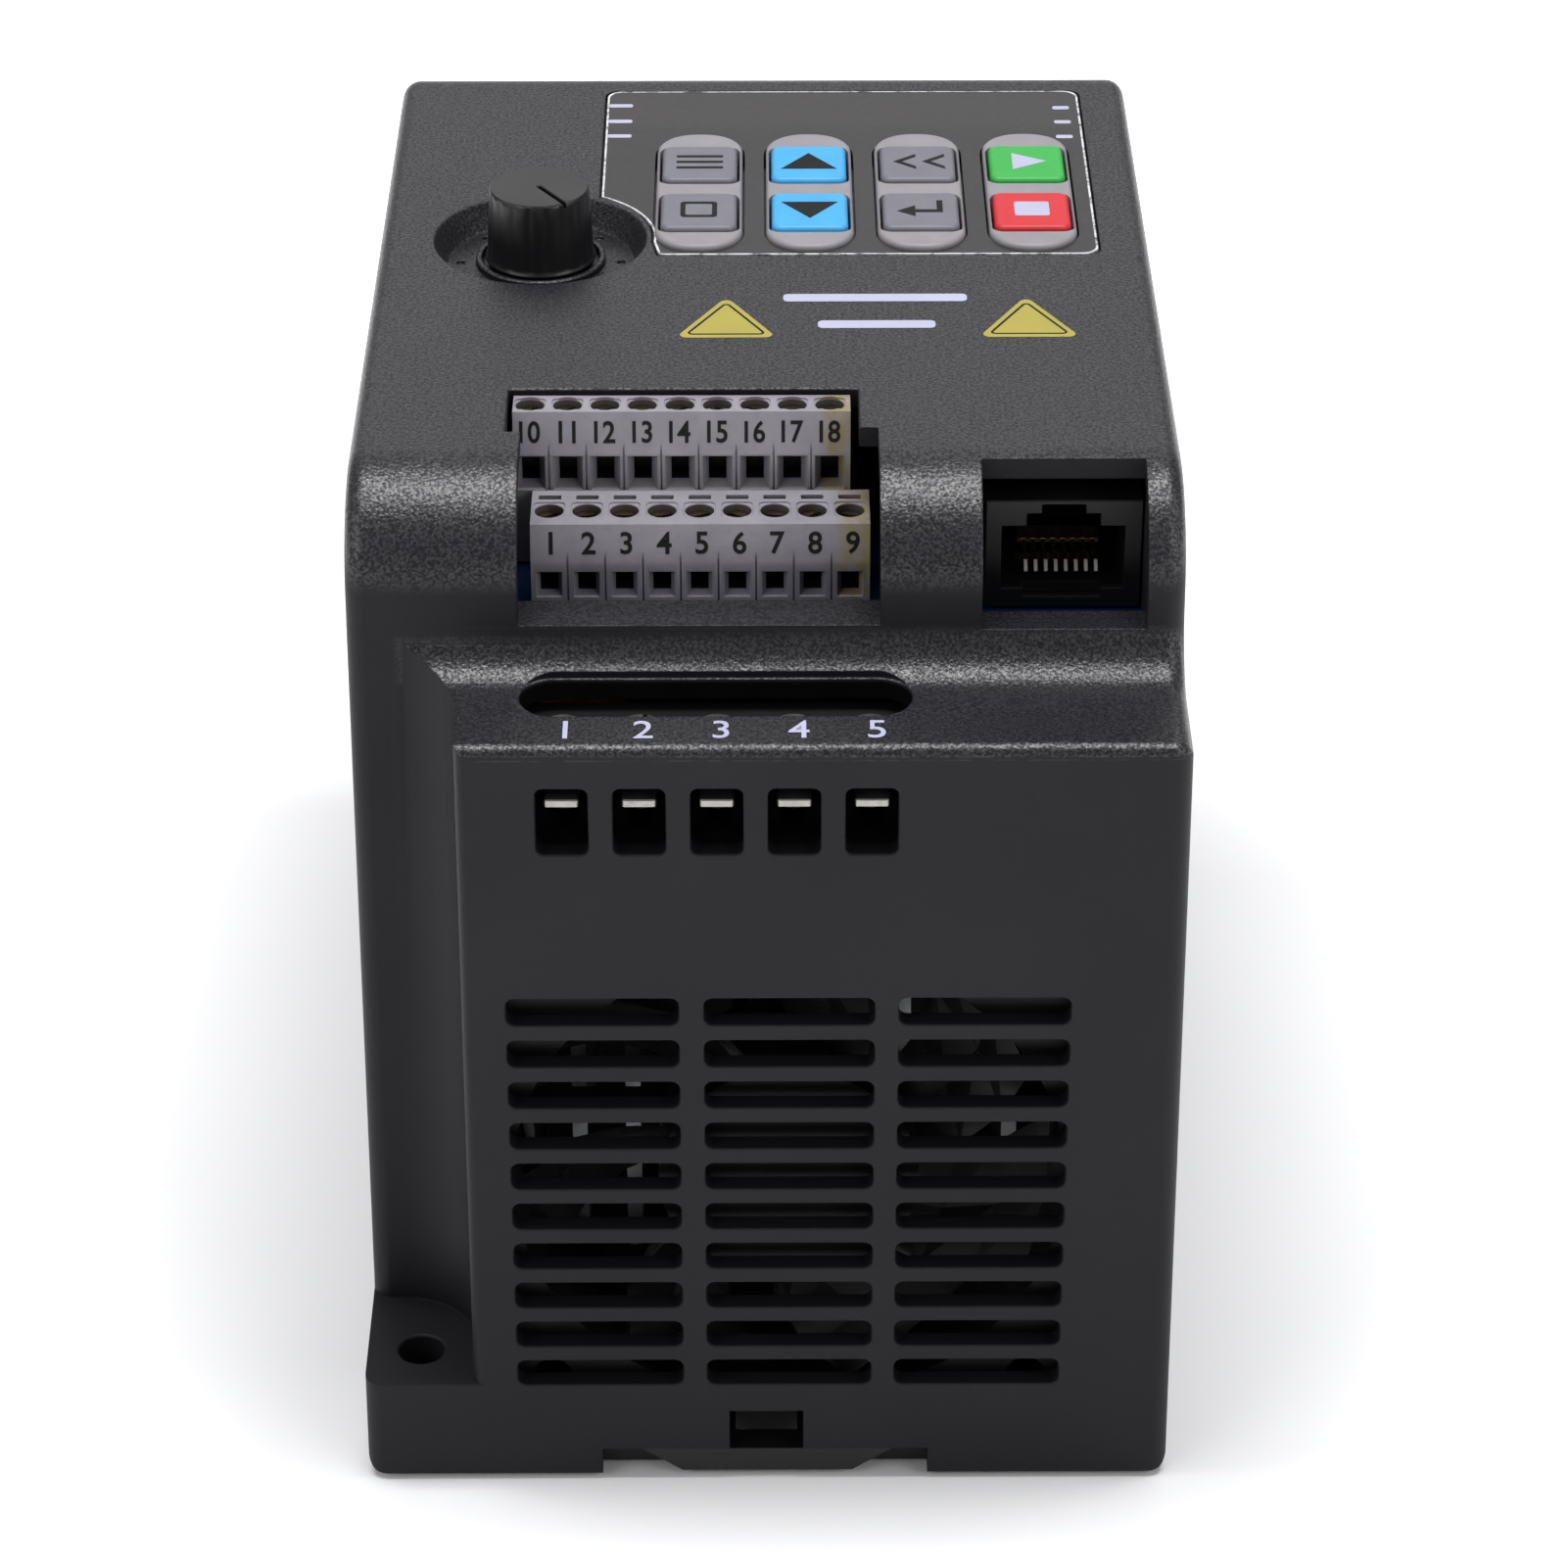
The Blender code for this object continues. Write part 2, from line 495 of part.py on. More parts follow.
# ----------------------------------------------------------------- panel pieces
def make_panel():
    film = prism("keypad_overlay", film_outline(0.3), DEPTH - 0.5, DEPTH)
    boolean(film, group("x_g", [prism("x_g%d" % i, stadium((x - 5.1, x + 5.1), (72.3, 103.0), 5), 104, DEPTH + 5) for i, x in enumerate(KEY_X)]))
    finish(film, (0.03, 0.03, 0.032), 0.35)

    mat = box("keypad_mat", (-13.4, 35.4), (71.0, 104.2), (105.2, 106.5))
    boolean(mat, cyl("x_dial", DIAL, 100, 115, 12.2, seg=40))
    boolean(mat, group("x_p", [prism("x_p%d" % i, stadium((x - 4.8, x + 4.8), (72.6, 102.7), 5), 105.8, 109.6) for i, x in enumerate(KEY_X)]), "UNION")
    boolean(mat, group("x_w", [box("x_w%d%d" % (i, j), (x - KEY_W / 2 - 0.25, x + KEY_W / 2 + 0.25), (y - KEY_L / 2 - 0.25, y + KEY_L / 2 + 0.25), (100, 115)) for i, x in enumerate(KEY_X) for j, y in enumerate(KEY_Y)]))
    finish(mat, (0.25, 0.25, 0.27), 0.5)

    colours = {(0, 0): (0.30, 0.30, 0.32), (1, 0): (0.15, 0.52, 0.90), (2, 0): (0.30, 0.30, 0.32), (3, 0): (0.05, 0.55, 0.10),
               (0, 1): (0.30, 0.30, 0.32), (1, 1): (0.15, 0.52, 0.90), (2, 1): (0.30, 0.30, 0.32), (3, 1): (0.70, 0.04, 0.05)}
    names = {(0, 0): "key_menu", (1, 0): "key_up", (2, 0): "key_shift", (3, 0): "key_run", (0, 1): "key_function", (1, 1): "key_down", (2, 1): "key_enter", (3, 1): "key_stop"}
    for (i, j), nm in names.items():
        x, y = KEY_X[i], KEY_Y[j]
        k = loft(nm, rect((x - KEY_W / 2, x + KEY_W / 2), (y - KEY_L / 2, y + KEY_L / 2), 1.1),
                 [(104.6, 0), (109.5, 0), (109.95, 0.25), (110.1, 0.7)], "Z", 3)
        finish(k, colours[(i, j)], 0.45, origin=(x, y, 105))

    disp = loft("display_module", rect((-10.0, 31.5), (104.9, 114.3)), [(100.2, 0), (108.1, 0)])
    finish(disp, (0.02, 0.02, 0.02), 0.2)
    board = prism("display_board", outline([(-38.0, 64.0, 2), (38.0, 64.0, 2), (38.0, 118.0, 2), (-38.0, 118.0, 2)], 2), 98.2, 99.8)
    finish(board, (0.02, 0.16, 0.07), 0.5)

    # potentiometer under the dial
    pot = cyl("pot_body", DIAL, 100.1, 103.6, 8.0, seg=24)
    boolean(pot, cyl("x_b", DIAL, 101, 106.6, 3.5, seg=20), "UNION")
    boolean(pot, cyl("x_c", DIAL, 101.4, 110, 3.1, seg=20))
    finish(pot, (0.45, 0.45, 0.46), 0.35, 1.0)
    shaft = cyl("pot_shaft", DIAL, 101.8, 112.9, 2.8, seg=20)
    finish(shaft, (0.5, 0.5, 0.5), 0.3, 1.0, origin=(*DIAL, 107))

    knob = cyl("knob", DIAL, 106.6, 114.5, 5.9, 5.45, seg=32)
    boolean(knob, cyl("x_t", DIAL, 114.45, 115.1, 5.453, 4.9, seg=32), "UNION")
    a = math.radians(POINTER_DEG)
    mark = box("x_m", (0, 7), (LENGTH / 2 - 0.35, LENGTH / 2 + 0.35), (114.5, 117))
    mark.data.transform(Matrix.Translation(place((DIAL[0], DIAL[1], 0), "Z")) @ Matrix.Rotation(a, 4, "Z"))
    boolean(knob, [cyl("x_u", DIAL, 100, 113.3, 3.15, seg=24), mark])
    finish(knob, DARK, 0.4, origin=(*DIAL, 107), smooth=True)


# ----------------------------------------------------------------- control electronics
def make_control():
    board = prism("control_board", outline([(-38.6, 18.6, 2), (38.6, 18.6, 2), (38.6, 60.0, 2), (-38.6, 60.0, 2)], 2), 89.9, 91.5)
    finish(board, PCB, 0.45)

    def deck(name, x, profile, first, screw_y, zc, yf):
        blk = prism(name, profile, x[0], x[1], "X")
        cuts = []
        for i in range(WAYS):
            c = first + WAY_PITCH * i
            cuts.append(box("x_e%d" % i, (c - 0.85, c + 0.85), (yf - 3, yf + 5.0), zc))
        blk2 = boolean(blk, group("x_e", cuts))
        cuts = [cyl("x_s%d" % i, (first + WAY_PITCH * i, screw_y), profile[3][1] - 2.0, 120, 1.5, seg=12) for i in range(WAYS)]
        boolean(blk2, group("x_s", cuts))
        finish(blk2, LILAC, 0.5)

    deck("control_terminal_lower", (-23.7, 10.6), [(34.3, 91.8), (26.0, 91.8), (26.0, 96.5), (26.9, 100.2), (34.3, 100.2)], LOWER_X + 0.03, 30.2, (92.7, 94.8), 26.0)
    deck("control_terminal_upper", (-25.6, 8.7), [(39.4, 91.8), (34.6, 91.8), (34.6, 104.3), (35.75, 108.4), (39.4, 108.4)], UPPER_X + 0.03, 37.6, (100.6, 103.3), 34.6)

    jack = box("network_jack", (22.1, 37.9), (24.8, 42.5), (91.8, 103.9))
    boolean(jack, [box("x_1", (23.75, 36.15), (20, 38.0), (93.9, 101.0)), box("x_2", (26.25, 33.65), (20, 37.0), (100.5, 102.4)), box("x_3", (27.75, 32.15), (20, 36.0), (101.7, 103.4)),
                   box("x_4", (26.0, 33.9), (20, 26.4), (92.9, 94.5))])
    finish(jack, DARK, 0.4)
    pitch = 1.016
    x0 = 29.95 - 3.5 * pitch
    comb = []
    for i in range(8):
        c = x0 + pitch * i
        comb += [(c - 0.22, 35.0), (c - 0.22, 27.0), (c + 0.22, 27.0), (c + 0.22, 35.0)]
    comb = [(x0 - 1.0, 35.0)] + comb + [(x0 + 7 * pitch + 1.0, 35.0), (x0 + 7 * pitch + 1.0, 36.2), (x0 - 1.0, 36.2)]
    finish(prism("jack_contacts", comb, 94.55, 95.0), (0.75, 0.58, 0.25), 0.3, 1.0)

    finish(box("board_connector", (-36.0, -28.5), (44.0, 57.0), (72.9, 89.6)), DARK, 0.5)
    finish(box("display_connector", (16.0, 34.0), (53.0, 59.6), (91.8, 97.0)), DARK, 0.5)
    # the display board stops short of the connector, which carries a flat lead on the real unit


# ----------------------------------------------------------------- power electronics
def make_power():
    c = [(-28.2, 4.0), (38.4, 4.0), (38.4, LENGTH - 18.0), (28.2, LENGTH - 18.0), (28.2, LENGTH - 4.0), (-38.4, LENGTH - 4.0), (-38.4, 18.0), (-28.2, 18.0)]
    finish(prism("power_board", c, 71.0, 72.6), (0.02, 0.14, 0.06), 0.5)

    def block(name, x, near):
        y = (3.0, 14.2)
        blk = box(name, (x[0] - 4.4, x[-1] + 4.4), y, (72.9, 86.8))
        front = group("x_f", [box("x_f%d" % i, (c - 2.75, c + 2.75), (0, 12.6), (77.2, 85.3)) for i, c in enumerate(x)])
        top = group("x_t", [cyl("x_t%d" % i, (c, SCREW_Y), 84.5, 90, 2.6, seg=16) for i, c in enumerate(x)])
        boolean(blk, front)
        boolean(blk, top)
        pieces = [blk]
        for i, c in enumerate(x):
            s = cyl(("output_screw_%d" if near else "input_screw_%d") % (i + 1), (c, SCREW_Y), 85.5, 87.2, 2.2, seg=16)
            boolean(s, cyl("x_s", (c, SCREW_Y), 79.6, 86.0, 1.3, seg=12), "UNION")
            boolean(s, box("x_d", (c - 3, c + 3), (SCREW_Y - 0.3, SCREW_Y + 0.3), (86.6, 88)))
            pieces.append(s)
            if near:
                p = box("output_clamp_%d" % (i + 1), (c - 1.7, c + 1.7), (0.6, 12.2), (82.8, 83.7))
                boolean(p, cyl("x_h", (c, SCREW_Y), 80, 90, 1.65, seg=12))
                pieces.append(p)
        return pieces

    xs = [OUT_FIRST_X + POLE_PITCH * i for i in range(OUT_POLES)]
    for p in block("output_terminal_block", xs, True):
        if "screw" in p.name:
            i = int(p.name[-1]) - 1
            finish(p, STEEL, 0.3, 1.0, origin=(xs[i], SCREW_Y, 86))
        else:
            finish(p, DARK if "block" in p.name else STEEL, 0.5 if "block" in p.name else 0.3, 0.0 if "block" in p.name else 1.0)
    xs = [OUT_FIRST_X + POLE_PITCH * i for i in range(IN_POLES)]
    for p in block("input_terminal_block", xs, False):
        p.data.transform(Matrix.Rotation(math.pi, 4, "Z"))
        if "screw" in p.name:
            i = int(p.name[-1]) - 1
            finish(p, STEEL, 0.3, 1.0, origin=(-xs[i], LENGTH - SCREW_Y, 86))
        else:
            finish(p, DARK, 0.5)

    # finned heatsink along the air path
    x0, x1, n, t = -26.5, 32.5, 11, 1.6
    pitch = (x1 - x0 - t) / (n - 1)
    pts = [(x0, 60.0)]
    for i in range(n):
        a = x0 + pitch * i
        pts += [(a, 54.0 if i else 60.0), (a, 14.0), (a + t, 14.0), (a + t, 54.0)]
    pts = [pts[0]] + pts[2:-1] + [(x1, 60.0)]
    finish(prism("heatsink", pts, 22.0, 118.0, "Y"), ALU, 0.4, 1.0)
    finish(box("power_module", (-22.0, 16.0), (40.0, 64.0), (60.3, 70.6)), DARK, 0.5)
    finish(box("rectifier_bridge", (-10.0, 20.0), (78.0, 98.0), (60.3, 70.6)), DARK, 0.5)
    for i, x in enumerate((-20.5, 4.0)):
        cap = loft("bus_capacitor_%d" % (i + 1), outline_circle((x, 79.5), 11.0, 24), [(72.9, 0.6), (73.5, 0), (95.9, 0), (96.6, 0.7)])
        finish(cap, (0.02, 0.02, 0.03), 0.35)
    finish(box("relay", (20.0, 35.0), (66.0, 85.0), (72.9, 88.0)), (0.03, 0.10, 0.30), 0.4)
    finish(box("transformer", (-16.0, 8.0), (100.0, 121.0), (72.9, 91.0)), (0.55, 0.45, 0.08), 0.5)
    choke = cyl("filter_choke", (-24.5, 34.0), 72.9, 84.0, 10.0, seg=24)
    boolean(choke, cyl("x_c", (-24.5, 34.0), 70, 90, 4.5, seg=20))
    finish(choke, (0.10, 0.14, 0.10), 0.5)


def outline_circle(c, r, n):
    return [(c[0] + r * math.cos(2 * math.pi * k / n), c[1] + r * math.sin(2 * math.pi * k / n), 0.0) for k in range(n)]


# ----------------------------------------------------------------- fan
def make_fan():
    cx, cz = FAN_C
    h = FAN_SIZE / 2
    y0, y1 = FAN_Y
    frame = prism("fan_frame", outline(rect((cx - h, cx + h), (cz - h, cz + h), 3.0), 3), y0, y1, "Y")
    cuts = [cyl("x_b", FAN_C, y0 - 2, y1 - 2.0, 28.6, axis="Y", seg=40)]
    for i in range(4):
        a0 = math.radians(45 + 90 * i)
        pts = []
        for r, s in ((13.0, 1), (28.6, -1)):
            half = math.radians(45) - 1.6 / r
            seg = 5
            for k in range(seg + 1):
                a = a0 + s * (-half + 2 * half * k / seg)
                pts.append((cx + r * math.cos(a), cz + r * math.sin(a)))
        cuts.append(prism("x_q%d" % i, pts, y1 - 2.6, y1 + 2, "Y"))
        sx, sz = (1, 1, -1, -1)[i], (1, -1, 1, -1)[i]
        cuts.append(cyl("x_h%d" % i, (cx + sx * 25, cz + sz * 25), y0 - 2, y1 + 2, 2.15, axis="Y", seg=10))
    boolean(frame, cuts)
    finish(frame, DARK, 0.5)

    rotor = cyl("fan_rotor", FAN_C, y0 + 0.6, y1 - 3.4, 13.5, axis="Y", seg=28)
    bm = bmesh.new()
    for b in range(BLADES):
        phi = 2 * math.pi * b / BLADES + 0.35
        rings = []
        for r, chord, pitch_deg, sweep in ((12.8, 10.0, 46, 0.0), (18.0, 12.5, 38, 0.10), (23.0, 14.5, 32, 0.22), (27.5, 16.0, 28, 0.36)):
            be = math.radians(pitch_deg)
            ring = []
            for s, t in ((-0.5, -0.5), (0.0, -0.5), (0.5, -0.5), (0.5, 0.5), (0.0, 0.5), (-0.5, 0.5)):
                camber = 0.9 if s == 0.0 else 0.0
                u = s * chord * math.cos(be) - (t * 1.1 + camber) * math.sin(be)
                w = s * chord * math.sin(be) + (t * 1.1 + camber) * math.cos(be)
                a = phi + sweep + u / r
                ring.append(bm.verts.new(place((cx + r * math.cos(a), cz + r * math.sin(a), 8.9 + w), "Y")))
            rings.append(ring)
        for lo, hi in zip(rings, rings[1:]):
            for i in range(6):
                bm.faces.new((lo[i], lo[(i + 1) % 6], hi[(i + 1) % 6], hi[i]))
        bm.faces.new(rings[0])
        bm.faces.new(rings[-1])
    blades = link("x_blades", bm)
    boolean(rotor, cyl("x_c", FAN_C, y0 + 2.2, y1, 11.9, axis="Y", seg=24))
    boolean(rotor, blades, "UNION")
    # the blade roots are trimmed flush inside the hub cup
    boolean(rotor, cyl("x_d", FAN_C, y0 + 2.3, y1, 11.8, axis="Y", seg=24))
    boolean(rotor, cyl("x_e", FAN_C, y0 + 1.2, y1 - 3.6, 1.2, axis="Y", seg=12), "UNION")
    finish(rotor, DARK, 0.45, origin=(cx, (y0 + y1) / 2, cz))
    stator = cyl("fan_stator", FAN_C, y0 + 3.0, y1 - 2.3, 10.8, axis="Y", seg=20)
    boolean(stator, cyl("x_f", FAN_C, y0, y1 - 2.8, 1.6, axis="Y", seg=12))
    finish(stator, (0.35, 0.18, 0.08), 0.5, 0.6)


make_housing()
make_base()
make_clip()
make_panel()
make_control()
make_power()
make_fan()
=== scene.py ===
"""Looks of the compact variable frequency drive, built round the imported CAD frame."""

import math

import bmesh
import bpy
from mathutils import Matrix, Vector


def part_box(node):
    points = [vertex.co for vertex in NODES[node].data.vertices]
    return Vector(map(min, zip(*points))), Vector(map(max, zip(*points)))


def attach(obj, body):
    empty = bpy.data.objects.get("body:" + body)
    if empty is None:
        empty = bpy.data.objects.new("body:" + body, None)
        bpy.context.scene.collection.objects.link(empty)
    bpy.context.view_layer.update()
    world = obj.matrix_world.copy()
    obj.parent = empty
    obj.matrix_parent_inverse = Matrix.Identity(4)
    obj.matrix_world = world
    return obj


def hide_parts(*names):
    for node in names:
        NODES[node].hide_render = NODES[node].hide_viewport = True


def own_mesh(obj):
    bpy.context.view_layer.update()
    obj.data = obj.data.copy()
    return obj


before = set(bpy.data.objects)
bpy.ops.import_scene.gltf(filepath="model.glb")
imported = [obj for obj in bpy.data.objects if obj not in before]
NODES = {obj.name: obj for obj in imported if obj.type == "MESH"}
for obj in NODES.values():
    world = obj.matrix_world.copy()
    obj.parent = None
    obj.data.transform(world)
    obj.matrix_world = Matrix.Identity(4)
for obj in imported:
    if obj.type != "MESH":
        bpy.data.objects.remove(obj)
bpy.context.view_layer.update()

MM = 0.001
WIDTH, LENGTH, DEPTH, WALL = 85.0, 141.5, 109.0, 2.2
DRAFT = 0.85 / 42.5 / 109.0
LEDGE_Z, STEP_Y, FRONT_R, FAR_R, SIDE_R = 90.5, 15.3, 11.5, 9.0, 2.0
EAR_X, EAR_Z, EAR_HOLE, EAR_HOLE_R = -31.0, 12.1, (-36.7, 6.2), 2.4
GRILLE_COLUMNS = ((-26.2, -8.8), (-6.3, 10.9), (13.3, 30.6))
GRILLE_FIRST_Z, GRILLE_PITCH, SLOT_HEIGHT = 13.65, 5.05, 3.2
POLE_PITCH, OUT_FIRST_X, WINDOW_W, WINDOW_Z, SCREW_Y = 7.62, -20.07, 5.2, (77.7, 85.25), 9.35
WAY_PITCH, LOWER_X, UPPER_X = 3.81, -21.87, -23.87
DIAL, DIAL_R, DIAL_DEPTH, POINTER_DEG = (-24.2, 76.1), 11.4, 2.9, -57.0
KEY_X, KEY_Y, KEY_W, KEY_L = (-7.1, 5.0, 17.1, 29.2), (93.6, 81.0), 8.4, 9.2
FILM = (-18.1, 36.3, 71.5, 116.0)
BASE_SCREWS = ((-36.4, 24.5), (36.4, 7.0), (36.4, LENGTH - 24.5), (-36.4, LENGTH - 7.0))

ROOT = "housing"
COLL = bpy.context.scene.collection


# ------------------------------------------------------------------ geometry helpers (millimetres, Y from the grille end)
def place(v, axis="Z"):
    u, w, h = v
    x, y, z = (u, w, h) if axis == "Z" else (u, h, w) if axis == "Y" else (h, u, w)
    return Vector((x * MM, (y - LENGTH / 2) * MM, z * MM))


def link(name, bm, draft=False, merge=1e-7):
    bmesh.ops.remove_doubles(bm, verts=bm.verts, dist=merge)
    bmesh.ops.recalc_face_normals(bm, faces=bm.faces)
    if draft:
        for v in bm.verts:
            v.co.x *= 1.0 - DRAFT * v.co.z / MM
    me = bpy.data.meshes.new(name)
    bm.to_mesh(me)
    bm.free()
    ob = bpy.data.objects.new(name, me)
    COLL.objects.link(ob)
    return ob


def outline(corners, seg=6):
    pts, n = [], len(corners)
    for i, (x, y, r) in enumerate(corners):
        if r <= 0:
            pts.append((x, y))
            continue
        p = Vector((x, y))
        u = (Vector(corners[i - 1][:2]) - p).normalized()
        v = (Vector(corners[(i + 1) % n][:2]) - p).normalized()
        phi = u.angle(v)
        c = p + (u + v).normalized() * (r / math.sin(phi / 2))
        s = p + u * (r / math.tan(phi / 2)) - c
        e = p + v * (r / math.tan(phi / 2)) - c
        a0 = math.atan2(s.y, s.x)
        turn = (math.atan2(e.y, e.x) - a0 + math.pi) % (2 * math.pi) - math.pi
        for k in range(seg + 1):
            a = a0 + turn * k / seg
            pts.append((c.x + r * math.cos(a), c.y + r * math.sin(a)))
    return pts


def inset(corners, d):
    n = len(corners)
    area = sum(corners[i - 1][0] * corners[i][1] - corners[i][0] * corners[i - 1][1] for i in range(n))
    side = 1.0 if area > 0 else -1.0
    out = []
    for i, (x, y, r) in enumerate(corners):
        a, p, b = Vector(corners[i - 1][:2]), Vector((x, y)), Vector(corners[(i + 1) % n][:2])
        e1, e2 = (p - a).normalized(), (b - p).normalized()
        n1, n2 = Vector((-e1.y, e1.x)) * side, Vector((-e2.y, e2.x)) * side
        q = p + (n1 + n2) * (d / (1.0 + n1.dot(n2)))
        convex = (e1.x * e2.y - e1.y * e2.x) * side > 0
        out.append((q.x, q.y, 0.0 if r <= 0 else max(0.05, r - d if convex else r + d)))
    return out


def loft(name, corners, levels, axis="Z", seg=6, draft=False):
    bm = bmesh.new()
    rings = [[bm.verts.new(place((u, w, h), axis)) for u, w in outline(inset(corners, d) if d else corners, seg)] for h, d in levels]
    n = len(rings[0])
    for lo, hi in zip(rings, rings[1:]):
        for i in range(n):
            bm.faces.new((lo[i], lo[(i + 1) % n], hi[(i + 1) % n], hi[i]))
    bm.faces.new(rings[0])
    bm.faces.new(rings[-1])
    return link(name, bm, draft)


def arc_in(lo, r, n, up=True):
    """Levels that round a rim of radius r, from full inset at lo to none."""
    return [(lo + (1 if up else -1) * r * (1 - math.cos(a)), r * (1 - math.sin(a))) for a in (math.pi / 2 * k / n for k in range(n + 1))]


def both_rims(lo, hi, r, n):
    return arc_in(lo, r, n) + arc_in(hi, r, n, False)[::-1]


def flare(name, corners, mouth, bottom, axis, r=0.3, seg=4, n=3, draft=False):
    """A cutter whose mouth is widened so that the cut's edge comes out rounded by r."""
    s = 1 if bottom > mouth else -1
    lv = [(mouth - 4 * s, -r)] + [(mouth + s * (r * (1 - math.cos(a)) - 0.008), -r * (1 - math.sin(a))) for a in (math.pi / 2 * k / n for k in range(n + 1))] + [(bottom, 0)]
    return loft(name, corners, lv, axis, seg, draft)


def prism(name, pts, lo, hi, axis="Z", draft=False):
    return loft(name, [(u, w, 0) for u, w in pts], [(lo, 0), (hi, 0)], axis, 1, draft)


def box(name, x, y, z):
    bm = bmesh.new()
    bmesh.ops.create_cube(bm, size=1.0)
    for v in bm.verts:
        v.co = place(((v.co.x + 0.5) * (x[1] - x[0]) + x[0], (v.co.y + 0.5) * (y[1] - y[0]) + y[0], (v.co.z + 0.5) * (z[1] - z[0]) + z[0]))
    return link(name, bm)


def cyl(name, c, lo, hi, r1, r2=None, axis="Z", seg=48):
    bm = bmesh.new()
    bmesh.ops.create_cone(bm, cap_ends=True, segments=seg, radius1=r1, radius2=r1 if r2 is None else r2, depth=hi - lo)
    for v in bm.verts:
        v.co = place((v.co.x + c[0], v.co.y + c[1], v.co.z + (lo + hi) / 2), axis)
    return link(name, bm)


def turned(name, c, profile, axis="Z", seg=64):
    """A solid of revolution; profile is (radius, height) pairs from the axis to the axis."""
    bm = bmesh.new()
    rings = []
    for r, h in profile:
        if r < 1e-6:
            rings.append([bm.verts.new(place((c[0], c[1], h), axis))])
        else:
            rings.append([bm.verts.new(place((c[0] + r * math.cos(2 * math.pi * k / seg), c[1] + r * math.sin(2 * math.pi * k / seg), h), axis)) for k in range(seg)])
    for lo, hi in zip(rings, rings[1:]):
        for k in range(seg):
            a, b = lo[k % len(lo)], lo[(k + 1) % len(lo)]
            d, e = hi[k % len(hi)], hi[(k + 1) % len(hi)]
            vs = [a, b, e, d]
            vs = [v for i, v in enumerate(vs) if v not in vs[:i]]
            if len(vs) > 2:
                bm.faces.new(vs)
    return link(name, bm)


def half_turn(ob, name):
    me = ob.data.copy()
    me.transform(Matrix.Rotation(math.pi, 4, "Z"))
    new = bpy.data.objects.new(name, me)
    COLL.objects.link(new)
    return new


def drop(obs):
    for o in obs:
        bpy.data.objects.remove(o, do_unlink=True)


def group(name, obs):
    bm = bmesh.new()
    for o in obs:
        bm.from_mesh(o.data)
    mats = [m for m in obs[0].data.materials]
    drop(obs)
    me = bpy.data.meshes.new(name)
    bm.to_mesh(me)
    bm.free()
    for m in mats:
        me.materials.append(m)
    ob = bpy.data.objects.new(name, me)
    COLL.objects.link(ob)
    return ob


def boolean(target, tools, op="DIFFERENCE"):
    tools = tools if isinstance(tools, (list, tuple)) else [tools]
    for t in tools:
        m = target.modifiers.new(t.name, "BOOLEAN")
        m.operation, m.solver, m.object = op, "EXACT", t
    dg = bpy.context.evaluated_depsgraph_get()
    me = bpy.data.meshes.new_from_object(target.evaluated_get(dg))
    target.modifiers.clear()
    old = target.data
    target.data = me
    me.name = target.name
    bpy.data.meshes.remove(old)
    bm = bmesh.new()
    bm.from_mesh(me)
    bmesh.ops.remove_doubles(bm, verts=bm.verts, dist=1e-6)
    bmesh.ops.dissolve_degenerate(bm, edges=bm.edges, dist=1e-6)
    bm.to_mesh(me)
    bm.free()
    drop(tools)
    return target


def carve(target, *steps):
    """Cut the groups of tools one after another; tools within a group don't touch each other."""
    for k, tools in enumerate(steps):
        boolean(target, group("step%d" % k, tools))
    return target


def tidy(ob, angle=30, bevel=0.0, seg=2, limit=40, weld=0.0):
    """Smooth shading with sharp edges kept, and an optional small bevel on the sharp edges."""
    if bevel:
        m = ob.modifiers.new("edges", "BEVEL")
        m.width, m.segments, m.limit_method, m.angle_limit = bevel * MM, seg, "ANGLE", math.radians(limit)
        m.use_clamp_overlap = True
        m.miter_outer = "MITER_ARC"
        dg = bpy.context.evaluated_depsgraph_get()
        me = bpy.data.meshes.new_from_object(ob.evaluated_get(dg))
        ob.modifiers.clear()
        old = ob.data
        ob.data = me
        bpy.data.meshes.remove(old)
    ob.data.shade_smooth()
    ob.data.set_sharp_from_angle(angle=math.radians(angle))
    m = ob.modifiers.new("normals", "WEIGHTED_NORMAL")
    m.mode, m.weight, m.keep_sharp, m.thresh = "FACE_AREA", 50, True, 0.01
    dg = bpy.context.evaluated_depsgraph_get()
    me = bpy.data.meshes.new_from_object(ob.evaluated_get(dg))
    ob.modifiers.clear()
    old = ob.data
    ob.data = me
    bpy.data.meshes.remove(old)
    return ob


def done(ob, mat, body=ROOT, replaces=()):
    ob.data.materials.clear()
    ob.data.materials.append(mat)
    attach(ob, body)
    if replaces:
        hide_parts(*([replaces] if isinstance(replaces, str) else replaces))
    return ob


def rect(x, y, r=0.0):
    return [(x[0], y[0], r), (x[1], y[0], r), (x[1], y[1], r), (x[0], y[1], r)]


def stadium(x, y, k=0.999):
    r = min(x[1] - x[0], y[1] - y[0]) / 2 * k
    return rect(x, y, r)


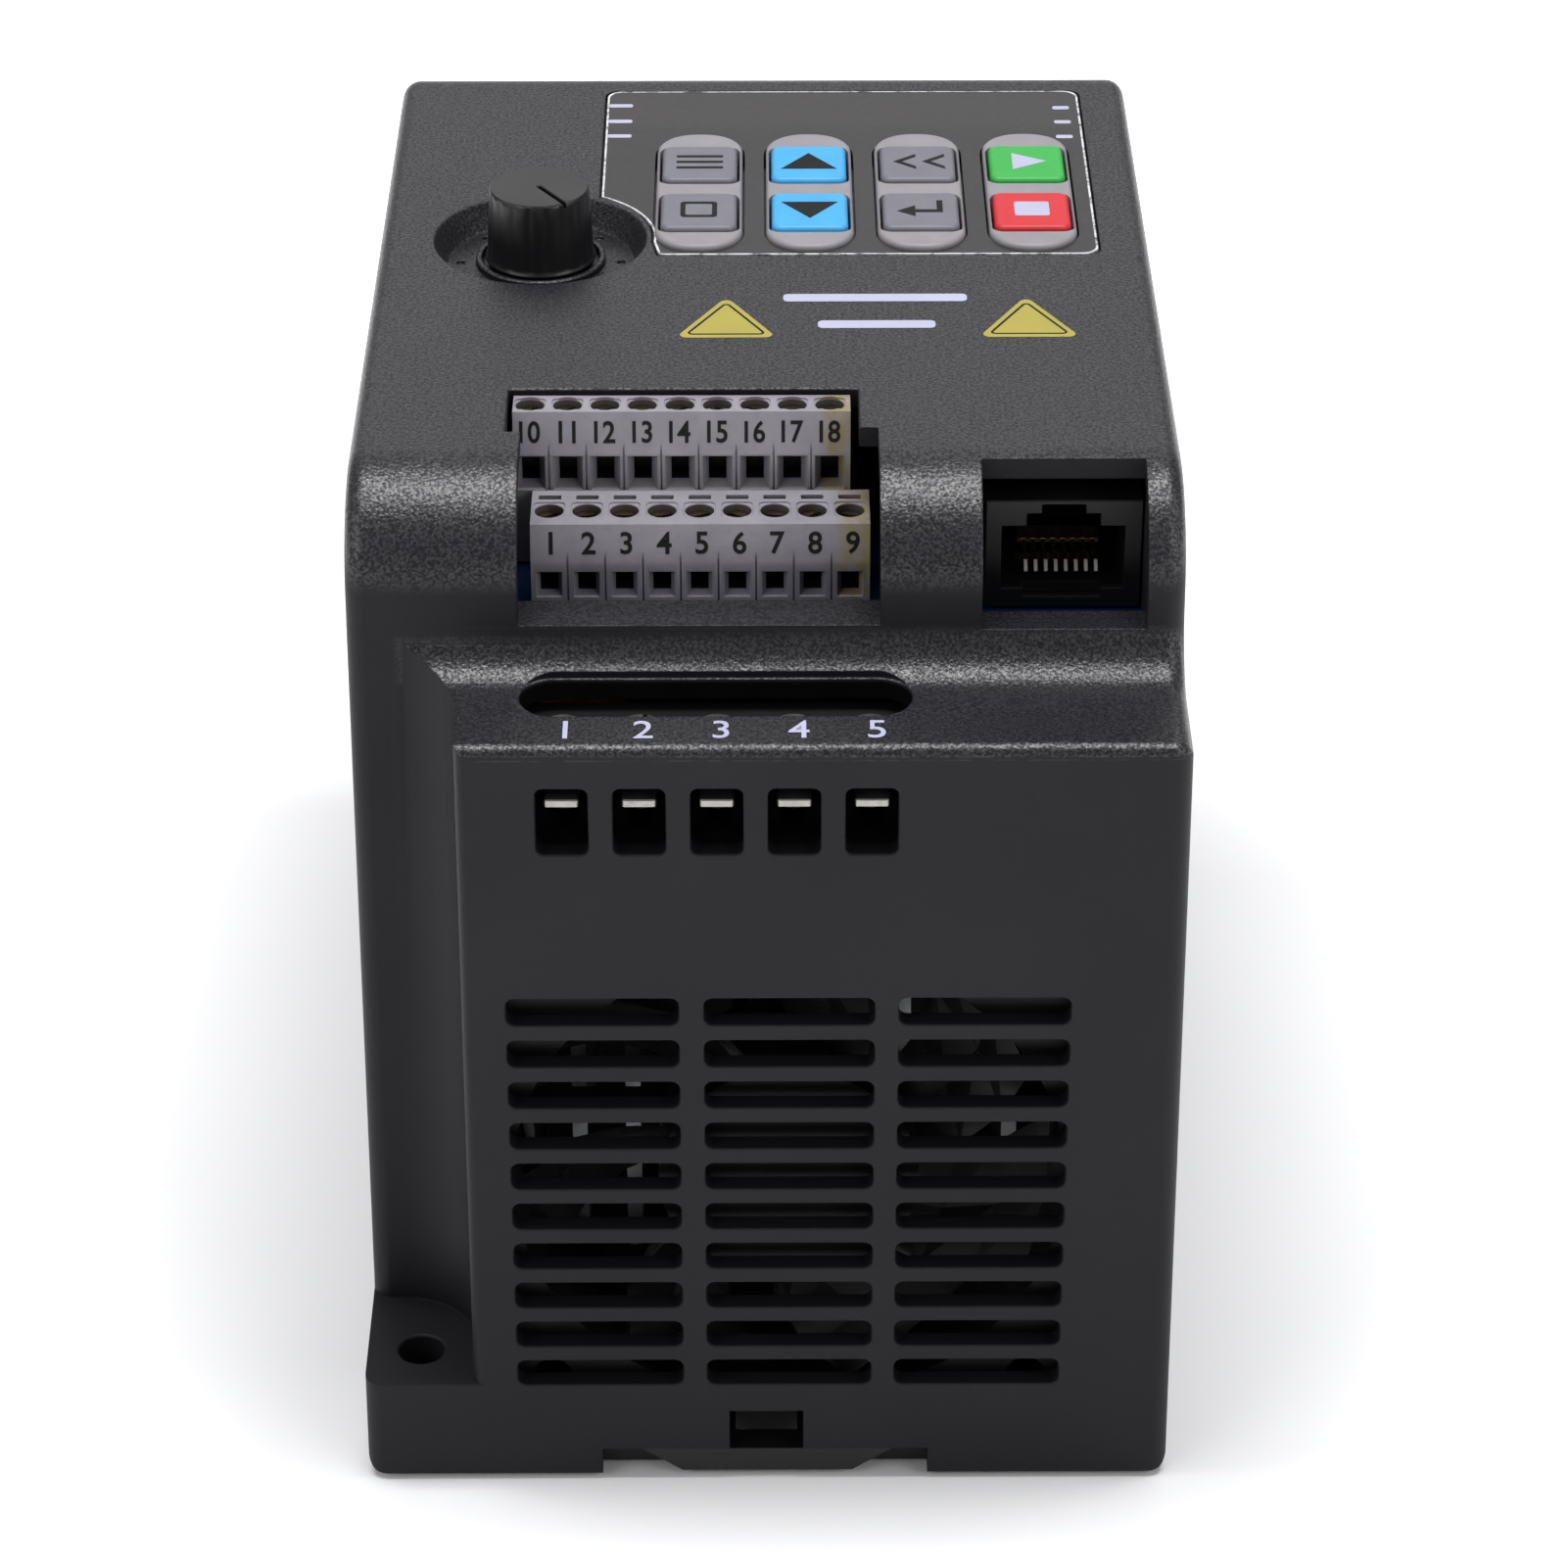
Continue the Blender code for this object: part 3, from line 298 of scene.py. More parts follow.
# ------------------------------------------------------------------ materials
class Tree:
    """Small builder for a node material; coordinates are object space in millimetres."""

    def __init__(self, name):
        self.m = bpy.data.materials.new(name)
        self.m.use_nodes = True
        self.t = self.m.node_tree
        self.b = self.t.nodes["Principled BSDF"]
        tc = self.t.nodes.new("ShaderNodeTexCoord")
        mp = self.t.nodes.new("ShaderNodeMapping")
        mp.inputs["Scale"].default_value = (1000.0, 1000.0, 1000.0)
        self.t.links.new(tc.outputs["Object"], mp.inputs["Vector"])
        self.co = mp.outputs["Vector"]

    def node(self, kind, **inputs):
        n = self.t.nodes.new(kind)
        for k, v in inputs.items():
            k = k.replace("_", " ")
            if hasattr(v, "links") or isinstance(v, bpy.types.NodeSocket):
                self.t.links.new(v, n.inputs[k])
            else:
                n.inputs[k].default_value = v
        return n

    def noise(self, scale, detail=2.0, rough=0.5, vec=None, distortion=0.0):
        n = self.t.nodes.new("ShaderNodeTexNoise")
        n.inputs["Scale"].default_value = scale
        n.inputs["Detail"].default_value = detail
        n.inputs["Roughness"].default_value = rough
        n.inputs["Distortion"].default_value = distortion
        self.t.links.new(vec or self.co, n.inputs["Vector"])
        return n.outputs["Fac"]

    def voronoi(self, scale, feature="F1", vec=None, out="Distance"):
        n = self.t.nodes.new("ShaderNodeTexVoronoi")
        n.feature = feature
        n.inputs["Scale"].default_value = scale
        self.t.links.new(vec or self.co, n.inputs["Vector"])
        return n.outputs[out]

    def ramp(self, fac, stops):
        n = self.t.nodes.new("ShaderNodeValToRGB")
        els = n.color_ramp.elements
        while len(els) > 1:
            els.remove(els[-1])
        els[0].position, els[0].color = stops[0][0], self.rgba(stops[0][1])
        for p, c in stops[1:]:
            e = els.new(p)
            e.color = self.rgba(c)
        self.t.links.new(fac, n.inputs["Fac"])
        return n.outputs["Color"]

    @staticmethod
    def rgba(c):
        return (c, c, c, 1.0) if isinstance(c, (int, float)) else (*c, 1.0)

    def math(self, op, a, b=0.0, c=None, clamp=False):
        n = self.t.nodes.new("ShaderNodeMath")
        n.operation = op
        n.use_clamp = clamp
        for i, v in enumerate((a, b, c)):
            if v is None:
                continue
            if isinstance(v, (int, float)):
                n.inputs[i].default_value = v
            else:
                self.t.links.new(v, n.inputs[i])
        return n.outputs[0]

    def remap(self, v, a, b, c, d, smooth=False):
        n = self.t.nodes.new("ShaderNodeMapRange")
        n.interpolation_type = "SMOOTHSTEP" if smooth else "LINEAR"
        n.clamp = True
        for i, x in enumerate((v, a, b, c, d)):
            if isinstance(x, (int, float)):
                n.inputs[i].default_value = x
            else:
                self.t.links.new(x, n.inputs[i])
        return n.outputs[0]

    def mix(self, fac, a, b, mode="MIX"):
        n = self.t.nodes.new("ShaderNodeMix")
        n.data_type = "RGBA"
        n.blend_type = mode
        for s, v in ((n.inputs["Factor"], fac), (n.inputs[6], a), (n.inputs[7], b)):
            if isinstance(v, bpy.types.NodeSocket):
                self.t.links.new(v, s)
            elif s is n.inputs["Factor"] or s.type == "VALUE":
                s.default_value = v
            else:
                s.default_value = self.rgba(v)
        return n.outputs[2]

    def xyz(self, vec=None):
        n = self.t.nodes.new("ShaderNodeSeparateXYZ")
        self.t.links.new(vec or self.co, n.inputs[0])
        return n.outputs

    def normal(self):
        return self.t.nodes.new("ShaderNodeNewGeometry").outputs["Normal"]

    def bump(self, height, strength, dist=0.1, before=None):
        n = self.t.nodes.new("ShaderNodeBump")
        n.inputs["Distance"].default_value = dist * MM
        if isinstance(strength, (int, float)):
            n.inputs["Strength"].default_value = strength
        else:
            self.t.links.new(strength, n.inputs["Strength"])
        self.t.links.new(height, n.inputs["Height"])
        if before is not None:
            self.t.links.new(before, n.inputs["Normal"])
        return n.outputs["Normal"]

    def out(self, color=None, rough=None, normal=None, **kw):
        for s, v in (("Base Color", color), ("Roughness", rough), ("Normal", normal)):
            if v is None:
                continue
            if isinstance(v, bpy.types.NodeSocket):
                self.t.links.new(v, self.b.inputs[s])
            else:
                self.b.inputs[s].default_value = self.rgba(v) if s == "Base Color" else v
        for k, v in kw.items():
            self.b.inputs[k.replace("_", " ")].default_value = v
        return self.m


def srgb(r, g, b):
    def f(c):
        c /= 255.0
        return c / 12.92 if c <= 0.04045 else ((c + 0.055) / 1.055) ** 2.4
    return (f(r), f(g), f(b))


def scaled(c, k):
    return tuple(min(1.0, x * k) for x in c)


def moulded(name, rgb, rough=0.5, grain=4.0, strength=0.25, dist=0.04, var=0.12, **kw):
    """Moulded plastic: slight mottling, fine grain and uneven gloss."""
    t = Tree(name)
    big = t.noise(0.12, 3.0)
    fine = t.noise(grain, 2.0)
    col = t.mix(t.remap(big, 0.3, 0.7, 0.0, 1.0), scaled(rgb, 1 - var), scaled(rgb, 1 + var))
    ro = t.remap(t.math("ADD", t.math("MULTIPLY", big, 0.5), t.math("MULTIPLY", fine, 0.5)), 0.3, 0.7, rough - 0.06, rough + 0.08)
    return t.out(col, ro, t.bump(fine, strength, dist), **kw)


def metal(name, rgb, rough=0.3, brushed=(1, 1, 1), strength=0.15, stain=0.25):
    """Plated or bare metal: fine brushing, tarnish in patches."""
    t = Tree(name)
    mp = t.node("ShaderNodeMapping", Vector=t.co)
    mp.inputs["Scale"].default_value = brushed
    fine = t.noise(6.0, 3.0, vec=mp.outputs["Vector"])
    patch = t.noise(0.7, 4.0)
    col = t.mix(t.remap(patch, 0.45, 0.75, 0.0, stain), rgb, scaled(rgb, 0.55))
    ro = t.remap(t.math("ADD", t.math("MULTIPLY", fine, 0.5), t.math("MULTIPLY", patch, 0.5)), 0.3, 0.7, rough - 0.08, rough + 0.14)
    return t.out(col, ro, t.bump(fine, strength, 0.02), Metallic=1.0)


def housing_material():
    """Charcoal moulding: coarse spark texture on the upper surfaces, fine matte below the mould's texture line."""
    t = Tree("housing_spark_plastic")
    x, y, z = t.xyz()
    up = t.xyz(t.normal())[2]
    coarse = t.math("MULTIPLY", t.remap(z, 88.45, 88.6, 0.0, 1.0), t.remap(up, 0.06, 0.34, 0.0, 1.0, True))
    grain = t.noise(3.6, 3.0, 0.62)
    pits = t.voronoi(3.0, "SMOOTH_F1")
    fine = t.noise(9.0, 2.0)
    big = t.noise(0.05, 3.0)
    base = t.mix(t.remap(big, 0.3, 0.7, 0.0, 1.0), (0.0088, 0.0084, 0.0112), (0.0118, 0.0114, 0.0146))
    low = t.mix(t.remap(big, 0.3, 0.7, 0.0, 1.0), (0.0098, 0.0096, 0.0120), (0.0122, 0.0119, 0.0148))
    col = t.mix(coarse, low, base)
    # a pale broken line along both end faces at the texture line (z 88.5): painted highlight for the bright line along
    # the ledge's front edge
    line = t.math("SUBTRACT", 1.0, t.math("MULTIPLY", t.math("ABSOLUTE", t.math("SUBTRACT", z, 88.5)), 9.0), clamp=True)
    line = t.math("MULTIPLY", line, t.math("GREATER_THAN", t.math("ABSOLUTE", y), 70.4))
    col = t.mix(t.math("MULTIPLY", line, t.remap(t.noise(0.8, 3.0), 0.4, 0.62, 0.0, 0.40)), col, (0.07, 0.07, 0.08))
    # faint pale handling marks
    dust = t.math("MULTIPLY", t.remap(t.noise(1.6, 6.0, 0.7), 0.66, 0.74, 0.0, 1.0), 0.10)
    col = t.mix(dust, col, (0.10, 0.10, 0.11))
    sparkle = t.remap(t.noise(5.5, 1.0), 0.56, 0.70, 0.0, 1.0)
    ro_c = t.math("SUBTRACT", 0.34, t.math("MULTIPLY", sparkle, 0.10))
    ro_f = t.remap(fine, 0.3, 0.7, 0.47, 0.57)
    ro = t.math("ADD", t.math("MULTIPLY", ro_c, coarse), t.math("MULTIPLY", ro_f, t.math("SUBTRACT", 1.0, coarse)))
    bev = t.t.nodes.new("ShaderNodeBevel")
    bev.samples = 4
    bev.inputs["Radius"].default_value = 0.28 * MM
    h = t.math("ADD", t.math("MULTIPLY", grain, 0.75), t.math("MULTIPLY", pits, 0.35))
    n1 = t.bump(h, coarse, 0.085, bev.outputs["Normal"])
    n2 = t.bump(fine, 0.18, 0.05, n1)
    # each pit of the coarse texture catches the light differently
    facet = t.remap(t.noise(3.1, 1.5, 0.5), 0.40, 0.62, 0.0, 1.0)
    col = t.mix(t.math("MULTIPLY", coarse, facet), col, (0.0135, 0.0130, 0.0165))
    spec = t.math("ADD", 0.17, t.math("MULTIPLY", coarse, t.math("ADD", 0.08, t.math("MULTIPLY", facet, 0.62))))
    # the wall inside the screwdriver slots lies in deep shade
    def within(v, a, b):
        return t.math("MULTIPLY", t.math("GREATER_THAN", v, a), t.math("LESS_THAN", v, b))
    ay = t.math("ABSOLUTE", y)
    shade = t.math("MULTIPLY", t.math("MULTIPLY", within(z, 84.0, 89.95), within(ay, 57.4, 65.4)), within(x, -24.9, 25.0))
    col = t.mix(shade, col, (0.004, 0.004, 0.0045))
    spec = t.math("MULTIPLY", spec, t.math("SUBTRACT", 1.0, t.math("MULTIPLY", shade, 0.85)))
    t.t.links.new(spec, t.b.inputs["Specular IOR Level"])
    return t.out(col, ro, n2)


M = {}
M["housing"] = housing_material()
M["base"] = moulded("base_plastic", (0.013, 0.013, 0.015), 0.5, 8.0, 0.2, 0.05, Specular_IOR_Level=0.25)
M["black"] = moulded("black_plastic", (0.0075, 0.0075, 0.008), 0.42, 7.0, 0.12, 0.03, Specular_IOR_Level=0.35)
M["knob"] = moulded("knob_plastic", (0.0065, 0.0064, 0.0075), 0.34, 9.0, 0.10, 0.02, Specular_IOR_Level=0.48)
M["steel"] = metal("zinc_plated_steel", (0.34, 0.335, 0.32), 0.42, (0.25, 3.0, 1.0), 0.4)
M["screw"] = metal("terminal_screw_steel", (0.27, 0.225, 0.14), 0.27, stain=0.6)
M["gold"] = metal("gold_contacts", (0.95, 0.78, 0.42), 0.18, stain=0.05)
# painted highlight: pale non-metal tips stand in for the glints on the gold contacts
M["tips"] = moulded("bright_contact_tips", (0.85, 0.82, 0.72), 0.22, 6.0, 0.1, 0.01, 0.08)
M["alu"] = metal("extruded_aluminium", (0.66, 0.67, 0.69), 0.38, (1.0, 0.05, 1.0), 0.2)
M["print"] = moulded("pale_print", srgb(172, 172, 196), 0.55, 12.0, 0.15, 0.01, 0.05)
M["yellow"] = moulded("yellow_print", srgb(158, 147, 60), 0.5, 10.0, 0.15, 0.01, 0.08)
M["ink"] = moulded("dark_ink", (0.007, 0.007, 0.008), 0.55, 10.0, 0.1, 0.01, 0.05, Specular_IOR_Level=0.2)


# ------------------------------------------------------------------ housing shell
def ear_cut(grow, z0, z1, name, fine=10):
    if grow:
        c = [(-60, -20, 0), (EAR_X + grow, -20, 0), (EAR_X + grow, STEP_Y + grow, 8.0), (-60, STEP_Y + grow, 0)]
        return prism(name, outline(c, fine), z0, z1, draft=True)
    r = 1.2
    near = [(-60, -20), (EAR_X + r, -20), (EAR_X + r, -0.004)] + [(EAR_X + r - r * math.sin(a), r - r * math.cos(a)) for a in (math.pi / 2 * k / 6 for k in range(1, 7))]
    c = [(EAR_X, r + 0.01, 0), (EAR_X, STEP_Y - 0.05, 8.0), (-WIDTH / 2, STEP_Y - 0.05, SIDE_R), (-WIDTH / 2, 19.0, 0), (-60, 19.0, 0)]
    far = outline(c, fine)
    return prism(name, near + far[1:], z0, z1, draft=True)


def film_outline(d, n=24):
    x0, x1, y0, y1 = FILM
    cx, cy = DIAL
    r = math.hypot(x0 - cx, 86.5 - cy) + d
    a0 = math.asin((86.5 - cy) / math.hypot(x0 - cx, 86.5 - cy))
    a1 = math.asin((y0 + 3.6 - cy) / r)
    arc = [(cx + r * math.cos(a0 + (a1 - a0) * k / n), cy + r * math.sin(a0 + (a1 - a0) * k / n)) for k in range(n + 1)]
    arc[0] = (x0 + d, cy + math.sqrt(max(r * r - (x0 + d - cx) ** 2, 0)))
    body = outline([(arc[-1][0] + 0.6, y0 + d, 0.4), (x1 - d, y0 + d, 1.6), (x1 - d, y1 - d, 1.6), (x0 + d, y1 - d, 1.6), (x0 + d, 100, 0)], 6)
    return body + arc


def make_housing():
    profile = [(0, 0, 0.5), (0, LEDGE_Z - 0.7, 1.3), (STEP_Y, LEDGE_Z, 5.0), (STEP_Y, DEPTH, FRONT_R),
               (LENGTH - STEP_Y, DEPTH, FAR_R), (LENGTH - STEP_Y, LEDGE_Z, 5.0), (LENGTH, LEDGE_Z - 0.7, 1.3), (LENGTH, 0, 0.5)]
    body = loft("housing_shell", profile, both_rims(-WIDTH / 2, WIDTH / 2, SIDE_R, 7), "X", 16, True)
    w = WALL
    inner = [(w, -8, 0), (w, LEDGE_Z - 0.7 - w, 0), (STEP_Y + w, LEDGE_Z - w, 0), (STEP_Y + w, DEPTH - w, FRONT_R - w),
             (LENGTH - STEP_Y - w, DEPTH - w, FAR_R - w), (LENGTH - STEP_Y - w, LEDGE_Z - w, 0), (LENGTH - w, LEDGE_Z - 0.7 - w, 0), (LENGTH - w, -8, 0)]
    cavity = loft("cavity", inner, [(-WIDTH / 2 + w, 0), (WIDTH / 2 - w, 0)], "X", 6, True)
    keep = [ear_cut(w, -20, 130, "k0", 6)]
    keep.append(half_turn(keep[0], "k1"))
    for i, (x, y) in enumerate(BASE_SCREWS):
        sx = 1 if x > 0 else -1
        keep.append(box("post%d" % i, tuple(sorted((x - sx * 3.4, sx * 60))), (y - 3.4, y + 3.4) if 20 < y < 120 else ((-5, y + 3.4) if y < 20 else (y - 3.4, 150)), (7.4, 25)))
    keep.append(cyl("dish", DIAL, DEPTH - DIAL_DEPTH - 2.0, DEPTH + 1, 11.9, seg=64))
    keep.append(box("sill", (-27, 13.6), (10, 20.5), (92.4, 95.0)))
    keep.append(box("floor", (19.2, 60), (10, 19.2), (92.1, 94.4)))
    keep.append(box("cheek_l", (19.2, 21.4), (10, 24.4), (92.1, 120)))
    keep.append(box("cheek_r", (38.0, 60), (10, 24.4), (92.1, 120)))
    boolean(cavity, keep)
    pocket = ear_cut(0, EAR_Z, 130, "ear_near")
    boolean(body, [cavity, pocket, half_turn(pocket, "ear_far"),
                   flare("hn", rect((EAR_HOLE[0] - 2.4, EAR_HOLE[0] + 2.4), (EAR_HOLE[1] - 2.4, EAR_HOLE[1] + 2.4), 2.39), EAR_Z, -5, "Z", 0.35, 8),
                   flare("hf", rect((-EAR_HOLE[0] - 2.4, -EAR_HOLE[0] + 2.4), (LENGTH - EAR_HOLE[1] - 2.4, LENGTH - EAR_HOLE[1] + 2.4), 2.39), EAR_Z, -5, "Z", 0.35, 8)])
    slots = []
    for row in range(10):
        z = GRILLE_FIRST_Z + GRILLE_PITCH * row
        for k, (x0, x1) in enumerate(GRILLE_COLUMNS):
            slots.append(flare("s%d_%d" % (row, k), rect((x0, x1), (z - SLOT_HEIGHT / 2, z + SLOT_HEIGHT / 2), 0.9), 0, WALL + 1.5, "Y", 0.22, 4, 3))
            if row > 1:
                slots.append(flare("t%d_%d" % (row, k), rect((-x1, -x0), (z - SLOT_HEIGHT / 2, z + SLOT_HEIGHT / 2), 0.9), LENGTH, LENGTH - WALL - 1.5, "Y", 0.22, 3, 2))
    for i in range(5):
        x = OUT_FIRST_X + POLE_PITCH * i
        slots.append(flare("w%d" % i, rect((x - WINDOW_W / 2, x + WINDOW_W / 2), WINDOW_Z, 0.8), 0, WALL + 0.6, "Y", 0.22, 5, 3))
    for i in range(3):
        x = -OUT_FIRST_X - POLE_PITCH * i
        slots.append(flare("v%d" % i, rect((x - WINDOW_W / 2, x + WINDOW_W / 2), WINDOW_Z, 0.8), LENGTH, LENGTH - WALL - 0.6, "Y", 0.22, 5, 3))
    boolean(body, group("slots", slots))
    tops = [flare("a", stadium((-24.35, 14.5), (5.9, 12.8)), 90.35, 86.5, "Z", 0.22, 14, 3), flare("b", stadium((0.5, 24.35), (LENGTH - 12.8, LENGTH - 5.9)), 90.35, 86.5, "Z", 0.35, 12, 3)]
    for o in tops:   # the flare is carried on up past the ledge's fillet
        for v in o.data.vertices:
            if v.co.z > 94 * MM:
                v.co.z = 130 * MM
    tops.append(flare("c", rect((-26.1, 9.5), (30.4, 39.7), 0.25), DEPTH, 96.0, "Z", 0.3, 3, 3))
    boolean(body, group("tops", tops))
    boolean(body, box("d", (-24.6, 11.4), (-5, 31.0), (95.0, 130)))
    boolean(body, box("e", (21.5, 37.9), (-5, 24.5), (94.5, 130)))
    boolean(body, prism("f", film_outline(0.0), DEPTH - 0.8, DEPTH + 5))
    holes = [loft("g%d" % i, stadium((x - 5.1, x + 5.1), (72.3, 103.0)), [(104, 0), (DEPTH + 5, 0)], "Z", 10) for i, x in enumerate(KEY_X)]
    holes.append(box("h", (-10.3, 31.8), (104.6, 114.6), (104, DEPTH + 5)))
    boolean(body, group("keys", holes))
    # dial dish with a rounded rim, collar and seven dimples
    rim = []
    for k in range(5):
        a = math.pi / 2 * k / 4
        rim.append((DIAL_R + 0.35 * (1 - math.sin(a)), DEPTH - 0.35 * (1 - math.cos(a)) + 0.004))
    dish = turned("dishcut", DIAL, [(0, DEPTH + 4), (DIAL_R + 0.35, DEPTH + 4)] + rim + [(DIAL_R - 1.05, DEPTH - DIAL_DEPTH + 0.3), (DIAL_R - 1.35, DEPTH - DIAL_DEPTH), (7.25, DEPTH - DIAL_DEPTH), (7.0, DEPTH - DIAL_DEPTH + 0.12), (7.0, DEPTH - DIAL_DEPTH + 0.75), (6.85, DEPTH - DIAL_DEPTH + 0.9), (6.5, DEPTH - DIAL_DEPTH + 0.9), (6.4, DEPTH - DIAL_DEPTH + 0.8), (6.4, DEPTH - DIAL_DEPTH), (3.85, DEPTH - DIAL_DEPTH), (3.85, 100), (0, 100)], seg=96)
    boolean(body, dish)
    dots = []
    for k in range(7):
        a = math.radians(-45 + 45 * k)
        dots.append(turned("dot%d" % k, (DIAL[0] + 8.7 * math.cos(a), DIAL[1] + 8.7 * math.sin(a)), [(0, DEPTH - DIAL_DEPTH + 0.6), (0.62, DEPTH - DIAL_DEPTH + 0.6), (0.50, DEPTH - DIAL_DEPTH - 0.02), (0.42, DEPTH - DIAL_DEPTH - 0.35), (0, DEPTH - DIAL_DEPTH - 0.4)], seg=16))
    boolean(body, group("dots", dots))
    boolean(body, [box("m", (-17.5, 17.0), (-5, 5), (-5, 3.5)), box("n", (-4.0, 3.8), (-5, 5), (-4, 8.6)), box("r", (-60, 60), (54.2, 89.8), (-5, 4.8))])
    boolean(body, [cyl("p%d" % i, c, 5, 20, 1.7, seg=16) for i, c in enumerate(BASE_SCREWS)])
    tidy(body, 28)
    done(body, M["housing"], replaces="front_housing")
    return body


make_housing()


# ------------------------------------------------------------------ marks
def flat_shape(name, loops, origin, xdir, ydir, lift, thick=0.03):
    """Thin printed shapes: outlines in local millimetres, laid on a plane."""
    o, xd, yd = Vector(origin), Vector(xdir).normalized(), Vector(ydir).normalized()
    nd = xd.cross(yd)
    bm = bmesh.new()
    for pts in loops:
        lo = [bm.verts.new(place(o + xd * u + yd * w + nd * lift)) for u, w in pts]
        hi = [bm.verts.new(place(o + xd * u + yd * w + nd * (lift + thick))) for u, w in pts]
        n = len(pts)
        for i in range(n):
            bm.faces.new((lo[i], lo[(i + 1) % n], hi[(i + 1) % n], hi[i]))
        bm.faces.new(lo)
        bm.faces.new(hi)
    return link(name, bm)


def text_shape(name, words, height, xdir, ydir, lift, squeeze=1.0, thick=0.03, weight=0.0):
    """Printed digits: words is a list of (string, origin in millimetres)."""
    xd, yd = Vector(xdir).normalized(), Vector(ydir).normalized()
    nd = xd.cross(yd)
    bm = bmesh.new()
    for s, origin in words:
        cu = bpy.data.curves.new(name, "FONT")
        cu.body, cu.size, cu.align_x, cu.align_y = s, height * 1.42, "CENTER", "CENTER"
        cu.extrude, cu.offset, cu.resolution_u = thick / 2, weight, 4
        ob = bpy.data.objects.new(name, cu)
        COLL.objects.link(ob)
        dg = bpy.context.evaluated_depsgraph_get()
        me = bpy.data.meshes.new_from_object(ob.evaluated_get(dg))
        xs = [v.co.x for v in me.vertices]
        ys = [v.co.y for v in me.vertices]
        mx, my = (min(xs) + max(xs)) / 2, (min(ys) + max(ys)) / 2
        k = height / (max(ys) - min(ys))
        for v in me.vertices:
            v.co = place(Vector(origin) + xd * ((v.co.x - mx) * k * squeeze) + yd * ((v.co.y - my) * k) + nd * (lift + v.co.z + thick / 2))
        bm.from_mesh(me)
        bpy.data.objects.remove(ob, do_unlink=True)
        bpy.data.meshes.remove(me)
    return link(name, bm, merge=1e-9)


def bar(x0, x1, y0, y1, r=None):
    return outline(rect((x0, x1), (y0, y1), min(x1 - x0, y1 - y0) * 0.32 if r is None else r), 4)


TOP = DEPTH
# pole numbers on the near ledge, laid on its slight slope
slope = Vector((0, STEP_Y, 0.7)).normalized()
done(text_shape("pole_numbers", [(str(i + 1), (OUT_FIRST_X + 0.45 + POLE_PITCH * i, 3.55, LEDGE_Z - 0.7 + 0.0458 * 3.55)) for i in range(5)], 3.1, (1, 0, 0), slope, 0.0, 1.0, 0.03, 0.02), M["print"])
done(text_shape("supply_numbers", [(str(i + 1), (-OUT_FIRST_X - POLE_PITCH * i, LENGTH - 3.55, LEDGE_Z - 0.7 + 0.0458 * 3.55)) for i in range(3)], 3.1, (-1, 0, 0), Vector((0, -STEP_Y, 0.7)).normalized(), 0.0, 1.0, 0.03, 0.02), M["print"])
# two plain pale bars and two plain yellow triangles on the panel
done(flat_shape("panel_bars", [bar(-9.6, 9.8, 2.9, 4.7), bar(-6.0, 6.3, -3.5, -1.7)], (11.6, 57.2, TOP), (1, 0, 0), (0, 1, 0), 0.0), M["print"])
for nm, cx in (("panel_triangle_left", -4.0), ("panel_triangle_right", 27.6)):
    tri = outline([(-5.3, -4.8, 0.7), (5.3, -4.8, 0.7), (0, 4.9, 0.7)], 4)
    done(flat_shape(nm, [tri], (cx, 56.3, TOP), (1, 0, 0), (0, 1, 0), 0.0), M["yellow"])
    a = [(-4.35, -4.15, 0.5), (4.35, -4.15, 0.5), (0, 3.75, 0.5)]
    o_, i_ = outline(a, 4), outline(inset(a, 0.28), 4)
    bm = bmesh.new()
    ring = []
    for h in (0.0, 0.04):
        ring.append(([bm.verts.new(place((cx + u, 56.3 + w, TOP + h))) for u, w in o_], [bm.verts.new(place((cx + u, 56.3 + w, TOP + h))) for u, w in i_]))
    n = len(o_)
    for i in range(n):
        j = (i + 1) % n
        (o0, i0), (o1, i1) = ring
        bm.faces.new((o0[i], o0[j], o1[j], o1[i]))
        bm.faces.new((i0[j], i0[i], i1[i], i1[j]))
        bm.faces.new((o1[i], o1[j], i1[j], i1[i]))
        bm.faces.new((o0[j], o0[i], i0[i], i0[j]))
    done(link(nm + "_line", bm), M["ink"])


# ------------------------------------------------------------------ keypad
def film_material():
    t = Tree("keypad_film")
    x, y, z = t.xyz()
    big = t.noise(0.07, 3.0)
    fine = t.noise(11.0, 2.0)
    win = t.math("MULTIPLY", t.remap(y, 33.5, 36.0, 0.0, 1.0, True), 1.0)
    base = t.mix(t.remap(big, 0.35, 0.65, 0.0, 1.0), (0.012, 0.0114, 0.0126), (0.015, 0.0144, 0.0158))
    col = t.mix(win, base, (0.020, 0.0168, 0.0168))
    scr = t.noise(0.9, 5.0, 0.6)
    col = t.mix(t.remap(scr, 0.6, 0.75, 0.0, 0.25), col, (0.06, 0.058, 0.060))
    ro = t.remap(t.math("ADD", t.math("MULTIPLY", fine, 0.4), t.math("MULTIPLY", scr, 0.6)), 0.3, 0.7, 0.36, 0.46)
    return t.out(col, ro, t.bump(fine, 0.10, 0.02, t.bump(big, 0.15, 0.3)), Specular_IOR_Level=0.60)


def worn_edge_material():
    t = Tree("worn_film_edge")
    n = t.noise(0.55, 6.0, 0.75)
    col = t.mix(t.remap(n, 0.40, 0.52, 0.0, 1.0), (0.10, 0.10, 0.105), (0.62, 0.62, 0.64))
    return t.out(col, 0.5, t.bump(t.noise(5.0), 0.3, 0.03))


